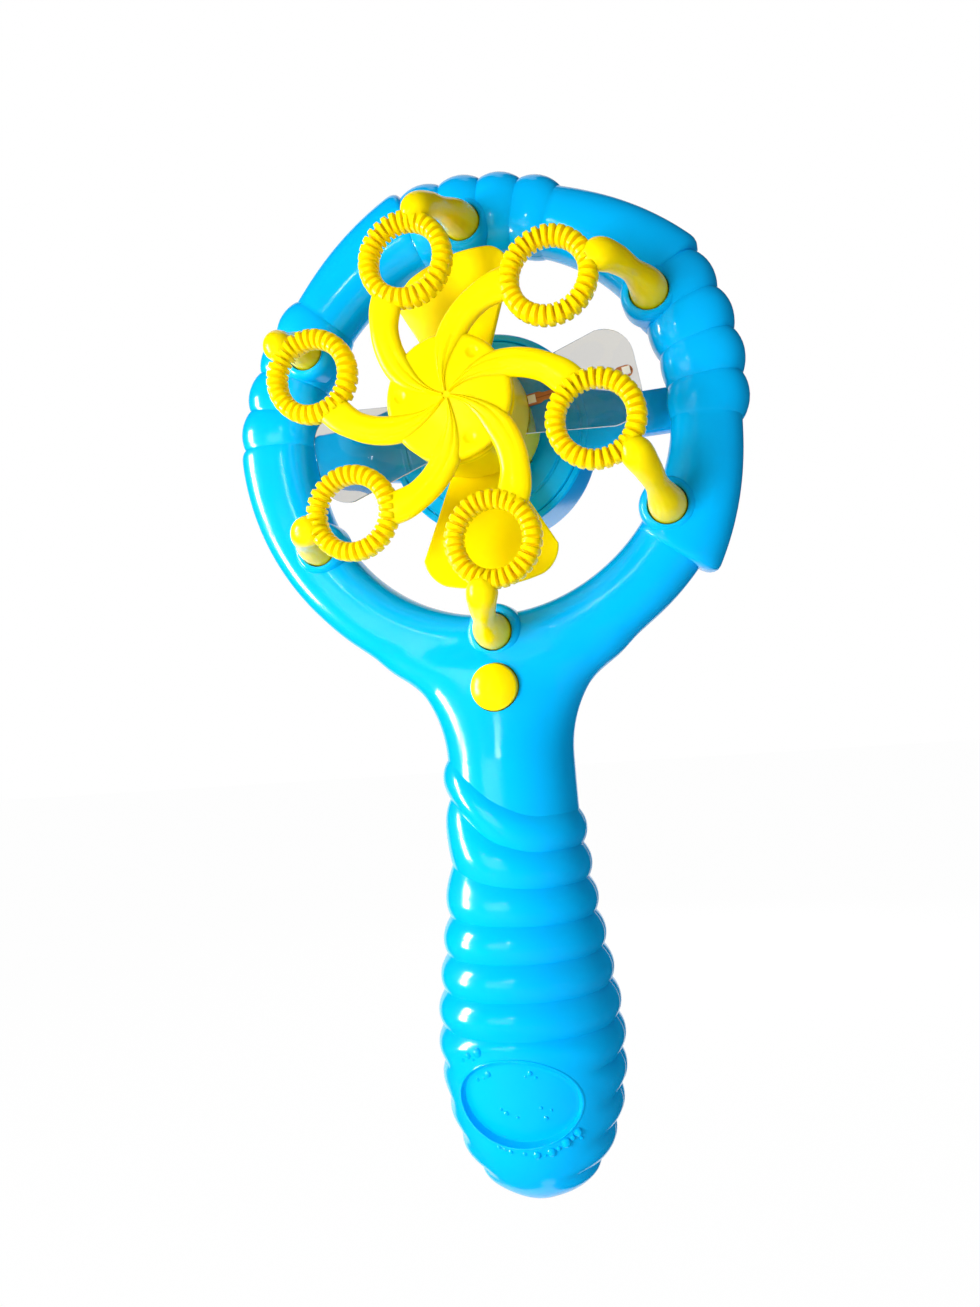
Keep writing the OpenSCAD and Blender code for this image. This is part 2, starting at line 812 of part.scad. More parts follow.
module clear_blades() {
    color("white", 0.4)
        for (deg = [clear_turn, clear_turn + 180])
            stand_blade(deg, clear_y, 0, clear_t)
                difference() {
                    blade_outline(hub_r, clear_root_w * 1.12, clear_tip_r, clear_tip_w, clear_corner);
                    translate([-far / 2, 0])
                        square([far, hub_r + eps]);
                }
    color("white", 0.4)
        for (deg = [clear_turn, clear_turn + 180])
            stand_blade(deg, clear_y, 0, clear_t)
                translate([-clear_root_w / 2, clear_root_r])
                    square([clear_root_w, hub_r - clear_root_r + 1]);
}

strip_y = clear_y - clear_t / 2 - strip_t / 2;
strip_end_r = clear_tip_r - 1.2;
lamp_end_r = strip_end_r - 0.8 * lamp_w;

module light_strip() {
    color("#cd7d4b")
        stand_blade(clear_turn, strip_y, 0, strip_t)
            union() {
                translate([-strip_w / 2, clear_root_r])
                    square([strip_w, strip_end_r - strip_w / 2 - clear_root_r]);
                translate([0, strip_end_r - strip_w / 2])
                    circle(strip_w / 2);
            }
}

module lamps() {
    color("white")
        for (k = [0 : lamp_count - 1])
            stand_blade(clear_turn, strip_y - strip_t / 2 - lamp_t / 2, 0, lamp_t)
                translate([0, lamp_end_r - k * lamp_pitch])
                    square(lamp_w, center = true);
}

module hub_board() {
    color("green")
        on_fan_axis()
            sleeve(boss_step_y - board_t, boss_step_y, hub_r - hub_wall - 1, hub_boss_r + run_gap);
}

slip_ring_r = [7.5, 11];
slip_ring_w = 1.6;
slip_ring_t = 0.3;

module slip_rings() {
    color("goldenrod")
        on_fan_axis()
            for (r = slip_ring_r)
                sleeve(hub_back_y, hub_back_y + slip_ring_t, r + slip_ring_w, r);
}

module feed_brushes() {
    tip_y = hub_back_y + slip_ring_t + fit_gap;
    color("goldenrod")
        on_fan_axis()
            for (k = [0, 1])
                rotate([0, 0, 40 + 180 * k]) {
                    r = slip_ring_r[k] + slip_ring_w / 2;
                    translate([r - 1, -1, pod_front_y - 0.4])
                        cube([9, 2, 0.4]);
                    translate([r, 0, tip_y])
                        cylinder(h = pod_front_y - tip_y, r = 0.8);
                }
}

// Outline of the pod, as radius and place along the axis, drawn in at its side and back
function pod_profile(side, back) = concat(
    [[0, pod_front_y], [pod_r - side - 1, pod_front_y], [pod_r - side, pod_front_y + 1]],
    [for (t = [0 : 15 : 90])
        [pod_flat_r + (pod_r - pod_flat_r) * cos(t) - side,
         pod_back_y - back - pod_round + pod_round * sin(t)]],
    [[0, pod_back_y - back]]);

module motor_bridge() {
    color(blue)
        difference() {
            union() {
                difference() {
                    union() {
                        on_fan_axis()
                            rotate_extrude()
                                polygon(pod_profile(0, 0));
                        for (s = [0, 180])
                            translate([0, bar_y + bar_d, fan_h])
                                rotate([0, s, 0])
                                    rotate([90, 0, 0])
                                        linear_extrude(bar_d)
                                            polygon([[pod_r - 9, -bar_pod_w / 2], [ring_bore_r - 9, -bar_w / 2],
                                                [bar_end_x, -bar_w / 2], [bar_end_x, bar_w / 2],
                                                [ring_bore_r - 9, bar_w / 2], [pod_r - 9, bar_pod_w / 2]]);
                    }
                    on_fan_axis()
                        rotate_extrude()
                            polygon(concat([[0, pod_front_y + pod_wall],
                                [pod_r - pod_wall - pod_ledge, pod_front_y + pod_wall]],
                                [for (p = pod_profile(pod_wall + pod_ledge, pod_wall))
                                    if (p[1] > pod_front_y + pod_wall) p]));
                    on_fan_axis()
                        translate([0, 0, pod_front_y - 1])
                            cylinder(h = pod_wall + 1 + eps, r = pod_r - pod_wall);
                }
                on_fan_axis()
                    sleeve(motor_y + 2, pod_back_y - pod_wall, motor_r + fit_gap + pod_wall,
                        motor_r + fit_gap / 2);
                on_fan_axis()
                    sleeve(bell_back_y, pod_back_y - pod_wall, motor_r + fit_gap + pod_wall, motor_r - 3);
            }
            translate([motor_r + pod_wall + 1, lead_bore_y, fan_h])
                rotate([0, 90, 0])
                    cylinder(h = far / 2, r = lead_bore_r);
            translate([motor_r - 4.6, bell_y + 0.5, fan_h - 4.5])
                cube([8.5, pod_back_y - pod_wall - bell_y - 0.5, 9]);
        }
}

module pod_cover() {
    color(blue)
        on_fan_axis() {
            sleeve(pod_front_y, pod_front_y + pod_wall, pod_r - pod_wall - fit_gap / 2, shaft_r + 2);
            sleeve(pod_front_y + pod_wall, motor_y, motor_r - 1.5, motor_r - 4);
        }
}

bush_r = 2.8;

module motor_can() {
    color("silver")
        on_fan_axis() {
            sleeve(motor_y, motor_y + can_wall, motor_r, bush_r);
            sleeve(motor_y + can_wall, bell_y, motor_r, motor_r - can_wall);
        }
}

module motor_bell() {
    color("white")
        on_fan_axis() {
            sleeve(bell_y, bell_back_y, motor_r - can_wall, bush_r);
            sleeve(bell_y - 1.5, bell_y, motor_r - can_wall - fit_gap / 2, bush_r + 3);
        }
}

module motor_magnets() {
    color("dimgray")
        on_fan_axis()
            for (turn = [0, 180])
                rotate([0, 0, turn - 55])
                    rotate_extrude(angle = 110)
                        translate([motor_r - can_wall - 3, motor_y + 2.5])
                            square([3 - eps, motor_len - 6]);
}

terminal_x = 6;

module motor_terminals() {
    color("goldenrod")
        for (s = [-1, 1])
            translate([s * terminal_x - 1.2, bell_back_y, fan_h - 0.25])
                cube([2.4, pod_back_y - pod_wall - bell_back_y - 0.4, 0.5]);
}

module motor_bushes() {
    color("peru")
        on_fan_axis() {
            sleeve(motor_y - 0.5, motor_y + 1.5, bush_r, shaft_r + run_gap);
            sleeve(bell_y, bell_back_y - 0.5, bush_r, shaft_r + run_gap);
        }
}

module motor_shaft() {
    color("gray")
        on_fan_axis()
            translate([0, 0, hub_front_y + cap_t + 4])
                cylinder(h = bell_back_y - hub_front_y - cap_t - 4.2, r = shaft_r);
}

module motor_rotor() {
    core_r = motor_r - can_wall - 4;
    sleeve_r = shaft_r + 1.6;
    color("chocolate")
        on_fan_axis()
            difference() {
                union() {
                    translate([0, 0, motor_y + 3])
                        cylinder(h = motor_len - 7.5, r = core_r);
                    translate([0, 0, motor_y + 4])
                        cylinder(h = motor_len - 5.6, r = sleeve_r);
                }
                for (turn = [60, 180, 300])
                    rotate([0, 0, turn])
                        translate([sleeve_r + 0.6, -core_r / 4, motor_y])
                            cube([core_r, core_r / 2, motor_len - 3]);
                translate([0, 0, motor_y])
                    cylinder(h = motor_len + 1, r = shaft_r + run_gap / 2);
            }
}

module push_button() {
    dome_r = (button_r * button_r + dome_h * dome_h) / 2 / dome_h;
    color(yellow)
        translate([0, 0, button_z]) {
            difference() {
                union() {
                    peg(0, 0, button_rim_y, flange_y, button_r);
                    intersection() {
                        translate([0, button_rim_y - dome_h + dome_r, 0])
                            sphere(dome_r);
                        peg(0, 0, button_rim_y - dome_h - 1, button_rim_y + eps, button_r);
                    }
                    peg(0, 0, flange_y, flange_y + flange_t, flange_r);
                }
            }
            peg(0, 0, flange_y + flange_t, stem_end_y, 2);
        }
}

module switch_plunger() {
    color("dimgray")
        peg(0, button_z, stem_end_y, board_y - plunger_floor - button_travel - 0.2, plunger_r);
}

module push_switch() {
    color("black")
        difference() {
            translate([-switch_w / 2, board_y - switch_h, button_z - switch_w / 2])
                cube([switch_w, switch_h, switch_w]);
            peg(0, button_z, board_y - switch_h - 1, board_y - plunger_floor, plunger_r + run_gap);
        }
}

module switch_board() {
    color("green")
        translate([-board_half_x, board_y, button_z - board_half_z])
            cube([2 * board_half_x, switch_board_t, 2 * board_half_z]);
}

// A coil spring along local z: radius at foot and top, length, curls and wire radius
module coil(r0, r1, length, curls, wire) {
    sides = 6;
    rings = 8 * curls;
    lift = (length - 2 * wire) / curls;
    points = [
        for (j = [0 : rings])
            let (deg = 360 * j / 8, share = j / rings, r = r0 + (r1 - r0) * share,
                 z = wire + (length - 2 * wire) * share)
                for (i = [0 : sides - 1])
                    let (t = 360 * i / sides)
                        [(r + wire * cos(t)) * cos(deg), (r + wire * cos(t)) * sin(deg), z + wire * sin(t)]
    ];
    assert(lift - 2 * wire > 0.4, "the curls of a spring touch");
    polyhedron(points, concat(
        [[for (i = [0 : sides - 1]) sides - 1 - i]],
        [for (j = [0 : rings - 1]) each band(j * sides, (j + 1) * sides, sides, false)],
        [[for (i = [0 : sides - 1]) rings * sides + i]]), convexity = 6);
}

module button_spring() {
    wire = 0.35;
    curls = floor((spring_len - 2 * wire) / (2 * wire + 0.55));
    color("silver")
        translate([0, flange_y + flange_t, button_z])
            rotate([-90, 0, 0])
                coil(5.2, 5.2, spring_len, curls, wire);
}

// Centre of one of the three cells: one in front, two behind
function cell_place(k) = [cell_ring_r * sin(120 * k), -cell_ring_r * cos(120 * k), cell_z];

module cell(k) {
    body = cell_len - nub_h;
    translate(cell_place(k)) {
        color("black")
            cylinder(h = body * 0.7, r = cell_r);
        color("peru")
            translate([0, 0, body * 0.7])
                cylinder(h = body * 0.3, r = cell_r);
        color("silver")
            translate([0, 0, body])
                cylinder(h = nub_h, r = nub_r);
    }
}

module cell_1() {
    cell(0);
}

module cell_2() {
    cell(1);
}

module cell_3() {
    cell(2);
}

module cell_cradle() {
    color("dimgray")
        difference() {
            translate([0, 0, cradle_z])
                cylinder(h = cradle_top_z - cradle_z, r = cradle_r);
            for (k = [0 : 2])
                translate([cell_place(k)[0], cell_place(k)[1], cradle_z + cradle_floor])
                    cylinder(h = cradle_top_z - cradle_z - 2 * cradle_floor, r = cell_r + cell_gap / 3);
            translate([-way_half, cell_ring_r / 2, cradle_z + cradle_floor])
                cube([2 * way_half, far / 4, cradle_top_z - cradle_z - 2 * cradle_floor]);
            for (s = [-1, 1])
                translate([s * lead_cradle_x, lead_cradle_y, cradle_top_z - cradle_floor - 1])
                    cylinder(h = cradle_floor + 2, r = lead_r + 2 * fit_gap);
        }
}

module contact_springs() {
    color("silver")
        for (k = [0 : 2])
            translate([cell_place(k)[0], cell_place(k)[1], cradle_z + cradle_floor + plate_t])
                coil(4.6, 2.8, contact_len, 3, 0.35);
}

module contact_plates() {
    plate_r = cell_r - 1.5;
    color("silver")
        for (k = [0 : 2], z = [cradle_z + cradle_floor, cell_z + cell_len + fit_gap])
            translate([cell_place(k)[0], cell_place(k)[1], z])
                cylinder(h = plate_t, r = plate_r);
}

// Leads: round tubes along routes of points
lead_cradle_x = 6;
lead_cradle_y = -1;
lead_ring_r = ring_mid_r + 5.5;
lead_side = 1.2;

// Smooth run through a route's points, with n steps between neighbours
function spline(p, n) = [
    for (k = [0 : len(p) - 2], s = [0 : n - 1])
        let (a = p[max(0, k - 1)], b = p[k], c = p[k + 1], d = p[min(len(p) - 1, k + 2)], t = s / n)
            0.5 * (2 * b + (c - a) * t + (2 * a - 5 * b + 4 * c - d) * t * t
                + (3 * b - a - 3 * c + d) * t * t * t),
    p[len(p) - 1]
];

function unit(v) = v / norm(v);

// Side directions along a run of directions, each turned as little as possible from the last
function sides_along(runs, j, u) =
    j == len(runs)
        ? []
        : let (v = unit(u - (u * runs[j]) * runs[j])) concat([v], sides_along(runs, j + 1, v));

module lead(route) {
    sides = 8;
    line = spline(route, 3);
    m = len(line);
    runs = [for (j = [0 : m - 1]) unit(line[min(j + 1, m - 1)] - line[max(j - 1, 0)])];
    ups = sides_along(runs, 0, [1, 0, 0]);
    points = [
        for (j = [0 : m - 1], i = [0 : sides - 1])
            line[j] + lead_r * (cos(360 * i / sides) * ups[j] + sin(360 * i / sides) * cross(runs[j], ups[j]))
    ];
    polyhedron(points, concat(
        [[for (i = [0 : sides - 1]) i]],
        [for (j = [0 : m - 2]) each band(j * sides, (j + 1) * sides, sides, false)],
        [[for (i = [0 : sides - 1]) m * sides - 1 - i]]), convexity = 10);
}

// Route round inside the ring, along the bar and down the pod, beside the other lead
function ring_route(side) = concat(
    [for (deg = [170 : -9 : 107])
        [lead_ring_r * sin(deg), 2.6 + side, fan_h + lead_ring_r * cos(deg)]],
    [[lead_ring_r - 3.2 + 0.3 * side, lead_bore_y - 0.5 + 0.9 * side, fan_h - 10],
     [lead_ring_r - 5.2 + 0.7 * side, lead_bore_y + 0.6 * side, fan_h - 2.8 + 0.5 * side],
     [bar_end_x + 1.2, lead_bore_y, fan_h + 0.7 * side], [ring_bore_r - 6, lead_bore_y, fan_h + 0.8 * side],
     [pod_r - 4, lead_bore_y, fan_h + 0.8 * side], [motor_r + 7, lead_bore_y + 2.5, fan_h + side],
     [motor_r + 4.8, lead_bore_y + 7, fan_h + 1.2 * side], [motor_r + 4.4, bell_y - 1, fan_h + 1.2 * side]]);

terminal_lead_y = bell_back_y + 0.9;

module lead_red() {
    color("red")
        lead(concat(
            [[3, board_y + switch_board_t + lead_r + eps, button_z + 2], [3.4, 1.4, button_z + 5]],
            ring_route(-lead_side),
            [[motor_r + 1, terminal_lead_y, fan_h - lead_side],
             [terminal_x + 1.6, terminal_lead_y, fan_h]]));
}

module lead_black() {
    color("black")
        lead(concat(
            [[lead_cradle_x, lead_cradle_y, cradle_top_z - 1], [lead_cradle_x, 1, cradle_top_z + 6],
             [7, 4.5, neck_h - 18], [5.8, 5, neck_h + 10], [4.4, 4.4, button_z + 1.5], [4.6, 3.8, button_z + 5.6]],
            ring_route(lead_side),
            [[motor_r + 1, terminal_lead_y, fan_h + 2.5], [terminal_x, terminal_lead_y, fan_h + 3],
             [0, terminal_lead_y, fan_h + 2], [1.4 - terminal_x, terminal_lead_y, fan_h]]));
}

module lead_cells() {
    color("red")
        lead([[-lead_cradle_x, lead_cradle_y, cradle_top_z - 1], [-lead_cradle_x, 1, cradle_top_z + 6],
            [-7, 4.5, neck_h - 18], [-5.5, 4, button_z - 14],
            [-4, board_y + switch_board_t + lead_r + 0.4, button_z - 7],
            [-4, board_y + switch_board_t + lead_r + eps, button_z - 3]]);
}

front_shell();
rear_shell();
battery_door();
door_screw();
shell_screws();
wand_wheel();
fan_hub();
hub_cap();
clear_blades();
light_strip();
lamps();
hub_board();
slip_rings();
feed_brushes();
motor_bridge();
pod_cover();
motor_can();
motor_bell();
motor_magnets();
motor_terminals();
motor_bushes();
motor_shaft();
motor_rotor();
push_button();
button_spring();
switch_plunger();
push_switch();
switch_board();
cell_1();
cell_2();
cell_3();
cell_cradle();
contact_springs();
contact_plates();
lead_red();
lead_black();
lead_cells();
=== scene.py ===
# %% [markdown]
# # A bubble fan, dressed for its portrait
# The solids of the toy come in first, as a fixed frame in metres. Every piece made below is laid
# over them in the same place, so nothing has to be fitted by eye. Sizes are written in
# millimetres, as a toolmaker would, and turned into metres in one spot. FAN_Z is the height of
# the fan's axis, round which most of the toy is laid out.

# %% Load the frame
from math import asin, atan2, copysign, cos, degrees, exp, hypot, pi, radians, sin, sqrt

import bmesh
import bpy
from mathutils import Matrix, Vector


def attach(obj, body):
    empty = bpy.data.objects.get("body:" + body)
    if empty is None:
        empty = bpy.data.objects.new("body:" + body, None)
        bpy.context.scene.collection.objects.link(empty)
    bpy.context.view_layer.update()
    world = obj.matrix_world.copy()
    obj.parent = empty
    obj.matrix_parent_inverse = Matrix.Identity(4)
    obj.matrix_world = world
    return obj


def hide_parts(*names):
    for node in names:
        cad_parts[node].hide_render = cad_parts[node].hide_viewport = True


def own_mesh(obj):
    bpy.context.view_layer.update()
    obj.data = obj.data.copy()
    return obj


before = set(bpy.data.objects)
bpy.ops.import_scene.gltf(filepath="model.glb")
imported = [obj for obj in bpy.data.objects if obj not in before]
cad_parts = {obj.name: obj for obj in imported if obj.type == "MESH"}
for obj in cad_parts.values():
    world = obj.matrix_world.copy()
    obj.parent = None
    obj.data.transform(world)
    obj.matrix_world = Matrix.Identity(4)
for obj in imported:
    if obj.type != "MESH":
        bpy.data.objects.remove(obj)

MM = 0.001
FAN_Z = 165.0
scene = bpy.context.scene
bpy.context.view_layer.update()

# %% [markdown]
# ## Camera
# The picture was taken from close by, a little to the right of the toy and with the lens tipped.
# The angles below were found by lining up the ring, the sockets and the grip. The lens follows
# from the picture's height of 1307 pixels and a focal length of 1000 pixels.

# %% Camera
def turn(axis, deg):
    """A turn about an axis, in degrees."""
    return Matrix.Rotation(radians(deg), 3, axis)


upright = Matrix(((1, 0, 0), (0, 0, -1), (0, 1, 0)))
look = turn("Z", -5.3) @ turn("Y", 14.7) @ turn("X", -3.5) @ upright
ring_to_lens = Vector((3.8, 66.1, -288.3))
spot = look.transposed() @ ring_to_lens + Vector((0, -10, FAN_Z))

PICTURE_H, FOCAL, SENSOR = 1307, 1000, 36
lens = bpy.data.cameras.new("lens")
lens.sensor_fit = "VERTICAL"
lens.sensor_height = SENSOR
lens.lens = SENSOR * FOCAL / PICTURE_H
lens.clip_start = 0.01
camera = bpy.data.objects.new("camera", lens)
scene.collection.objects.link(camera)
pose = Matrix((look[0], -look[1], -look[2])).transposed().to_4x4()
pose.translation = spot * MM
camera.matrix_world = pose
scene.camera = camera
print("camera at", [round(c, 4) for c in pose.translation])

# %% [markdown]
# ## Small helpers
# Node trees and mesh objects are made again and again below. These few functions keep that short.

# %% Helpers
def join(tree, *pairs):
    """Links outputs to inputs in a node tree."""
    for source, target in pairs:
        tree.links.new(source, target)


def set_inputs(node, values):
    """Gives a node's inputs plain values."""
    for label, value in values.items():
        node.inputs[label].default_value = value


def add_math(tree, operation, *sources):
    """A math node's result; each source is an output or a plain number."""
    node = tree.nodes.new("ShaderNodeMath")
    node.operation = operation
    for target, source in zip(node.inputs, sources):
        if isinstance(source, (int, float)):
            target.default_value = source
        else:
            tree.links.new(source, target)
    return node.outputs[0]


def mix_shaders(tree, share, first, second, end):
    """Leads a mix of two shaders to an output node."""
    mix = tree.nodes.new("ShaderNodeMixShader")
    join(tree, (share, mix.inputs[0]), (first.outputs[0], mix.inputs[1]), (second.outputs[0], mix.inputs[2]),
         (mix.outputs[0], tree.nodes[end].inputs["Surface"]))


def new_material(name):
    """A material, its node tree and its shader."""
    m = bpy.data.materials.new(name)
    m.use_nodes = True
    return m, m.node_tree, m.node_tree.nodes["Principled BSDF"]


def as_object(name, bm):
    """Turns a drawn mesh into an object of the scene."""
    mesh = bpy.data.meshes.new(name)
    bm.to_mesh(mesh)
    bm.free()
    o = bpy.data.objects.new(name, mesh)
    scene.collection.objects.link(o)
    return o


def drawn_again(o):
    """An object's mesh, ready to draw on; the object itself goes away."""
    bm = bmesh.new()
    bm.from_mesh(o.data)
    bpy.data.objects.remove(o)
    return bm


def move(bm, verts, vec):
    """Moves some corners of a drawn mesh."""
    bmesh.ops.translate(bm, verts=verts, vec=vec)


# %% [markdown]
# ## Light
# The toy stands in front of white, lit by a window at its left. Two broad soft lamps give the
# window's daylight, a weak one the light that a table throws back from below, and one the light
# of the room behind. The window's panes make the crisp white marks on the gloss. They are bright
# cards that only glossy rays meet, so they can be as white as glass without adding light.
#
# The white itself is in the world: camera, glossy and see-through rays meet plain white, and only
# the light that falls on the toy is dimmer. A dark screen stands round the camera, as a
# photographer's black cloth does, and is seen in the gloss alone; without it the white all round
# would lie like a veil over the strong colours.

# %% Light
scene.view_settings.view_transform = "Standard"


def white_for_viewers(tree):
    """Mask that is 1 for rays that show the background, in a mirror or through glass too."""
    path = tree.nodes.new("ShaderNodeLightPath").outputs
    seen = add_math(tree, "MAXIMUM", path["Is Camera Ray"], path["Is Glossy Ray"])
    return add_math(tree, "MAXIMUM", seen, path["Is Transmission Ray"])


world = bpy.data.worlds.new("studio")
scene.world = world
world.use_nodes = True
sky = world.node_tree
ambient = sky.nodes["Background"]
set_inputs(ambient, {"Color": (0.93, 0.96, 1.0, 1), "Strength": 0.32})
plain = sky.nodes.new("ShaderNodeBackground")
set_inputs(plain, {"Color": (1, 1, 1, 1), "Strength": 1.0})
mix_shaders(sky, white_for_viewers(sky), ambient, plain, "World Output")


def softbox(name, place, aim, size, watts):
    """A square lamp at place (mm) that faces aim (mm) and isn't seen itself."""
    lamp = bpy.data.lights.new(name, "AREA")
    lamp.shape = "RECTANGLE"
    lamp.size = lamp.size_y = size * MM
    lamp.energy = watts
    box = bpy.data.objects.new(name, lamp)
    scene.collection.objects.link(box)
    box.location = Vector(place) * MM
    away = (Vector(aim) - Vector(place)).normalized()
    box.rotation_euler = away.to_track_quat("-Z", "Y").to_euler()
    box.visible_camera = box.visible_glossy = box.visible_transmission = False


def card(name, bm, colour, glow=0.0):
    """A screen that is seen in the gloss alone."""
    o = as_object(name, bm)
    m, _, cloth = new_material(name)
    set_inputs(cloth, {"Base Color": (*colour, 1), "Roughness": 1.0, "Specular IOR Level": 0.0,
                       "Emission Color": (1, 1, 1, 1), "Emission Strength": glow})
    o.data.materials.append(m)
    o.visible_camera = o.visible_diffuse = o.visible_shadow = o.visible_transmission = False


def pane(name, place, aim, size, glow):
    """A bright rectangle at place (mm) that faces aim (mm)."""
    bm = bmesh.new()
    bmesh.ops.create_grid(bm, x_segments=1, y_segments=1, size=0.5 * MM)
    bmesh.ops.scale(bm, verts=bm.verts, vec=(size[0], size[1], 1))
    facing = (Vector(aim) - Vector(place)).to_track_quat("Z", "Y").to_matrix()
    bmesh.ops.rotate(bm, verts=bm.verts, cent=(0, 0, 0), matrix=facing)
    move(bm, bm.verts, Vector(place) * MM)
    card(name, bm, (1, 1, 1), glow)


softbox("daylight", (-235, -520, 100), (0, -15, 90), 230, 3.3)
softbox("side_light", (-560, -200, 90), (0, -10, 80), 260, 1.5)
softbox("table_bounce", (400, -380, -140), (0, -20, 110), 260, 0.5)
softbox("room_light", (60, 640, 200), (0, 0, 90), 300, 3.0)
pane("pane_low", (-560, -200, 35), (0, -10, 80), (120, 180), 60)
pane("pane_high", (-560, -200, 245), (0, -10, 110), (120, 180), 60)
pane("far_pane", (-190, -760, 330), (0, -10, 160), (40, 40), 30)

SCREEN_R, SCREEN_Z = 1.5, 0.1
screen = bmesh.new()
bmesh.ops.create_grid(screen, x_segments=40, y_segments=24, size=1)
for v in screen.verts:
    side, rise = radians(20 + 150 * v.co.x), radians(85 * v.co.y)
    level = cos(rise)
    v.co = Vector((sin(side) * level, -cos(side) * level, sin(rise))) * SCREEN_R
move(screen, screen.verts, (0, 0, SCREEN_Z))
card("dark_dome", screen, (0.02, 0.03, 0.05))

# %% [markdown]
# ## Floor
# A pale floor lies below the toy, as when it is held up over a table. It glows faintly white to
# the camera, so it melts into the background, and still takes a soft shadow.

# %% Floor
FLOOR_Z = -0.11
bm = bmesh.new()
bmesh.ops.create_grid(bm, x_segments=2, y_segments=2, size=3)
move(bm, bm.verts, (0, 0, FLOOR_Z))
floor = as_object("floor", bm)
paper, tree, matt = new_material("white_paper")
set_inputs(matt, {"Base Color": (0.86, 0.86, 0.86, 1), "Roughness": 0.9, "Specular IOR Level": 0.1})
glow = tree.nodes.new("ShaderNodeEmission")
set_inputs(glow, {"Strength": 1.0})
share = add_math(tree, "MULTIPLY", white_for_viewers(tree), 0.985)
mix_shaders(tree, share, matt, glow, "Material Output")
floor.data.materials.append(paper)
floor.visible_glossy = False
print("floor at", FLOOR_Z)

# %% [markdown]
# ## Moulded plastic
# Nearly everything here is injection-moulded and polished. Such plastic isn't one flat colour:
# the colour flows unevenly as the mould fills, handling dulls the gloss in soft patches, and the
# polished skin keeps a faint ripple. These three effects are one node group, with a colour, a
# spread and a gloss for each material.

# %% Shared skin group
def new_group(name, inputs, outputs):
    """A node group with (label, kind, value) inputs and (label, kind) outputs, and its two ends."""
    group = bpy.data.node_groups.new(name, "ShaderNodeTree")
    for label, kind, value in inputs:
        made = group.interface.new_socket(label, in_out="INPUT", socket_type="NodeSocket" + kind)
        if value is not None:
            made.default_value = value
    for label, kind in outputs:
        group.interface.new_socket(label, in_out="OUTPUT", socket_type="NodeSocket" + kind)
    return group, group.nodes.new("NodeGroupInput").outputs, group.nodes.new("NodeGroupOutput").inputs


def noise(tree, coords, scale, detail):
    """A noise with lumps of a size and finer detail on them."""
    n = tree.nodes.new("ShaderNodeTexNoise")
    set_inputs(n, {"Scale": scale, "Detail": detail})
    tree.links.new(coords, n.inputs["Vector"])
    return n.outputs["Fac"]


def spread(tree, value):
    """Stretches the middle of a noise over the whole range from 0 to 1."""
    m = tree.nodes.new("ShaderNodeMapRange")
    set_inputs(m, {"From Min": 0.3, "From Max": 0.7})
    tree.links.new(value, m.inputs["Value"])
    return m.outputs["Result"]


def mix_colours(tree, share, first, second):
    """Mixes two colours; the second may be a plain value."""
    node = tree.nodes.new("ShaderNodeMix")
    node.data_type = "RGBA"
    join(tree, (share, node.inputs["Factor"]), (first, node.inputs["A"]))
    if isinstance(second, tuple):
        node.inputs["B"].default_value = second
    else:
        tree.links.new(second, node.inputs["B"])
    return node.outputs["Result"]


MID_GREY = (0.5, 0.5, 0.5, 1)
skin, came, goes = new_group(
    "moulded_skin",
    [("Vector", "Vector", None), ("Colour", "Color", MID_GREY), ("Flow", "Color", MID_GREY),
     ("Gloss", "Float", 0.15), ("Handling", "Float", 0.08)],
    [("Colour", "Color"), ("Roughness", "Float"), ("Height", "Float")])
flow = spread(skin, noise(skin, came["Vector"], 28, 1.0))
wear = spread(skin, noise(skin, came["Vector"], 60, 4.0))
join(skin, (mix_colours(skin, flow, came["Colour"], came["Flow"]), goes["Colour"]),
     (add_math(skin, "MULTIPLY_ADD", wear, came["Handling"], came["Gloss"]), goes["Roughness"]),
     (noise(skin, came["Vector"], 420, 1.0), goes["Height"]))
print("group:", skin.name, "with", len(skin.nodes), "nodes")


# %% Plastic from the group
def dressed(name, group, values):
    """A material whose colour and roughness come from a group with these values."""
    m, tree, bsdf = new_material(name)
    g = tree.nodes.new("ShaderNodeGroup")
    g.node_tree = group
    set_inputs(g, values)
    where = tree.nodes.new("ShaderNodeTexCoord")
    join(tree, (where.outputs["Object"], g.inputs["Vector"]),
         (g.outputs["Colour"], bsdf.inputs["Base Color"]), (g.outputs["Roughness"], bsdf.inputs["Roughness"]))
    return m, tree, bsdf, g


def moulded(name, colour, flow, gloss, handling, ripple=0.02, shine=0.5):
    """A moulded plastic: its colour, the colour of its flow marks, its gloss and its ripple."""
    m, tree, bsdf, g = dressed(name, skin, {"Colour": (*colour, 1), "Flow": (*flow, 1),
                                            "Gloss": gloss, "Handling": handling})
    set_inputs(bsdf, {"Specular IOR Level": shine})
    bump = tree.nodes.new("ShaderNodeBump")
    set_inputs(bump, {"Strength": ripple, "Distance": 0.0004})
    join(tree, (g.outputs["Height"], bump.inputs["Height"]), (bump.outputs["Normal"], bsdf.inputs["Normal"]))
    return m


pool_blue = moulded("pool_blue", (0.0, 0.46, 0.95), (0.0, 0.43, 0.91), 0.10, 0.07, 0.02, 0.36)
lemon = moulded("lemon_yellow", (1.0, 0.76, 0.0), (1.0, 0.72, 0.0), 0.16, 0.10, 0.03, 0.17)
set_inputs(lemon.node_tree.nodes["Principled BSDF"], {
    "Subsurface Weight": 0.35, "Subsurface Radius": (1.0, 0.7, 0.05), "Subsurface Scale": 0.004})
print("plastics:", pool_blue.name, lemon.name)


# %% [markdown]
# ## Making a piece
# A piece is drawn in millimetres with mesh operators, then handed over here: it is shrunk to
# metres, shaded smooth with its real edges kept sharp, and set to ride on the body that it
# belongs to in place of the plain solid.

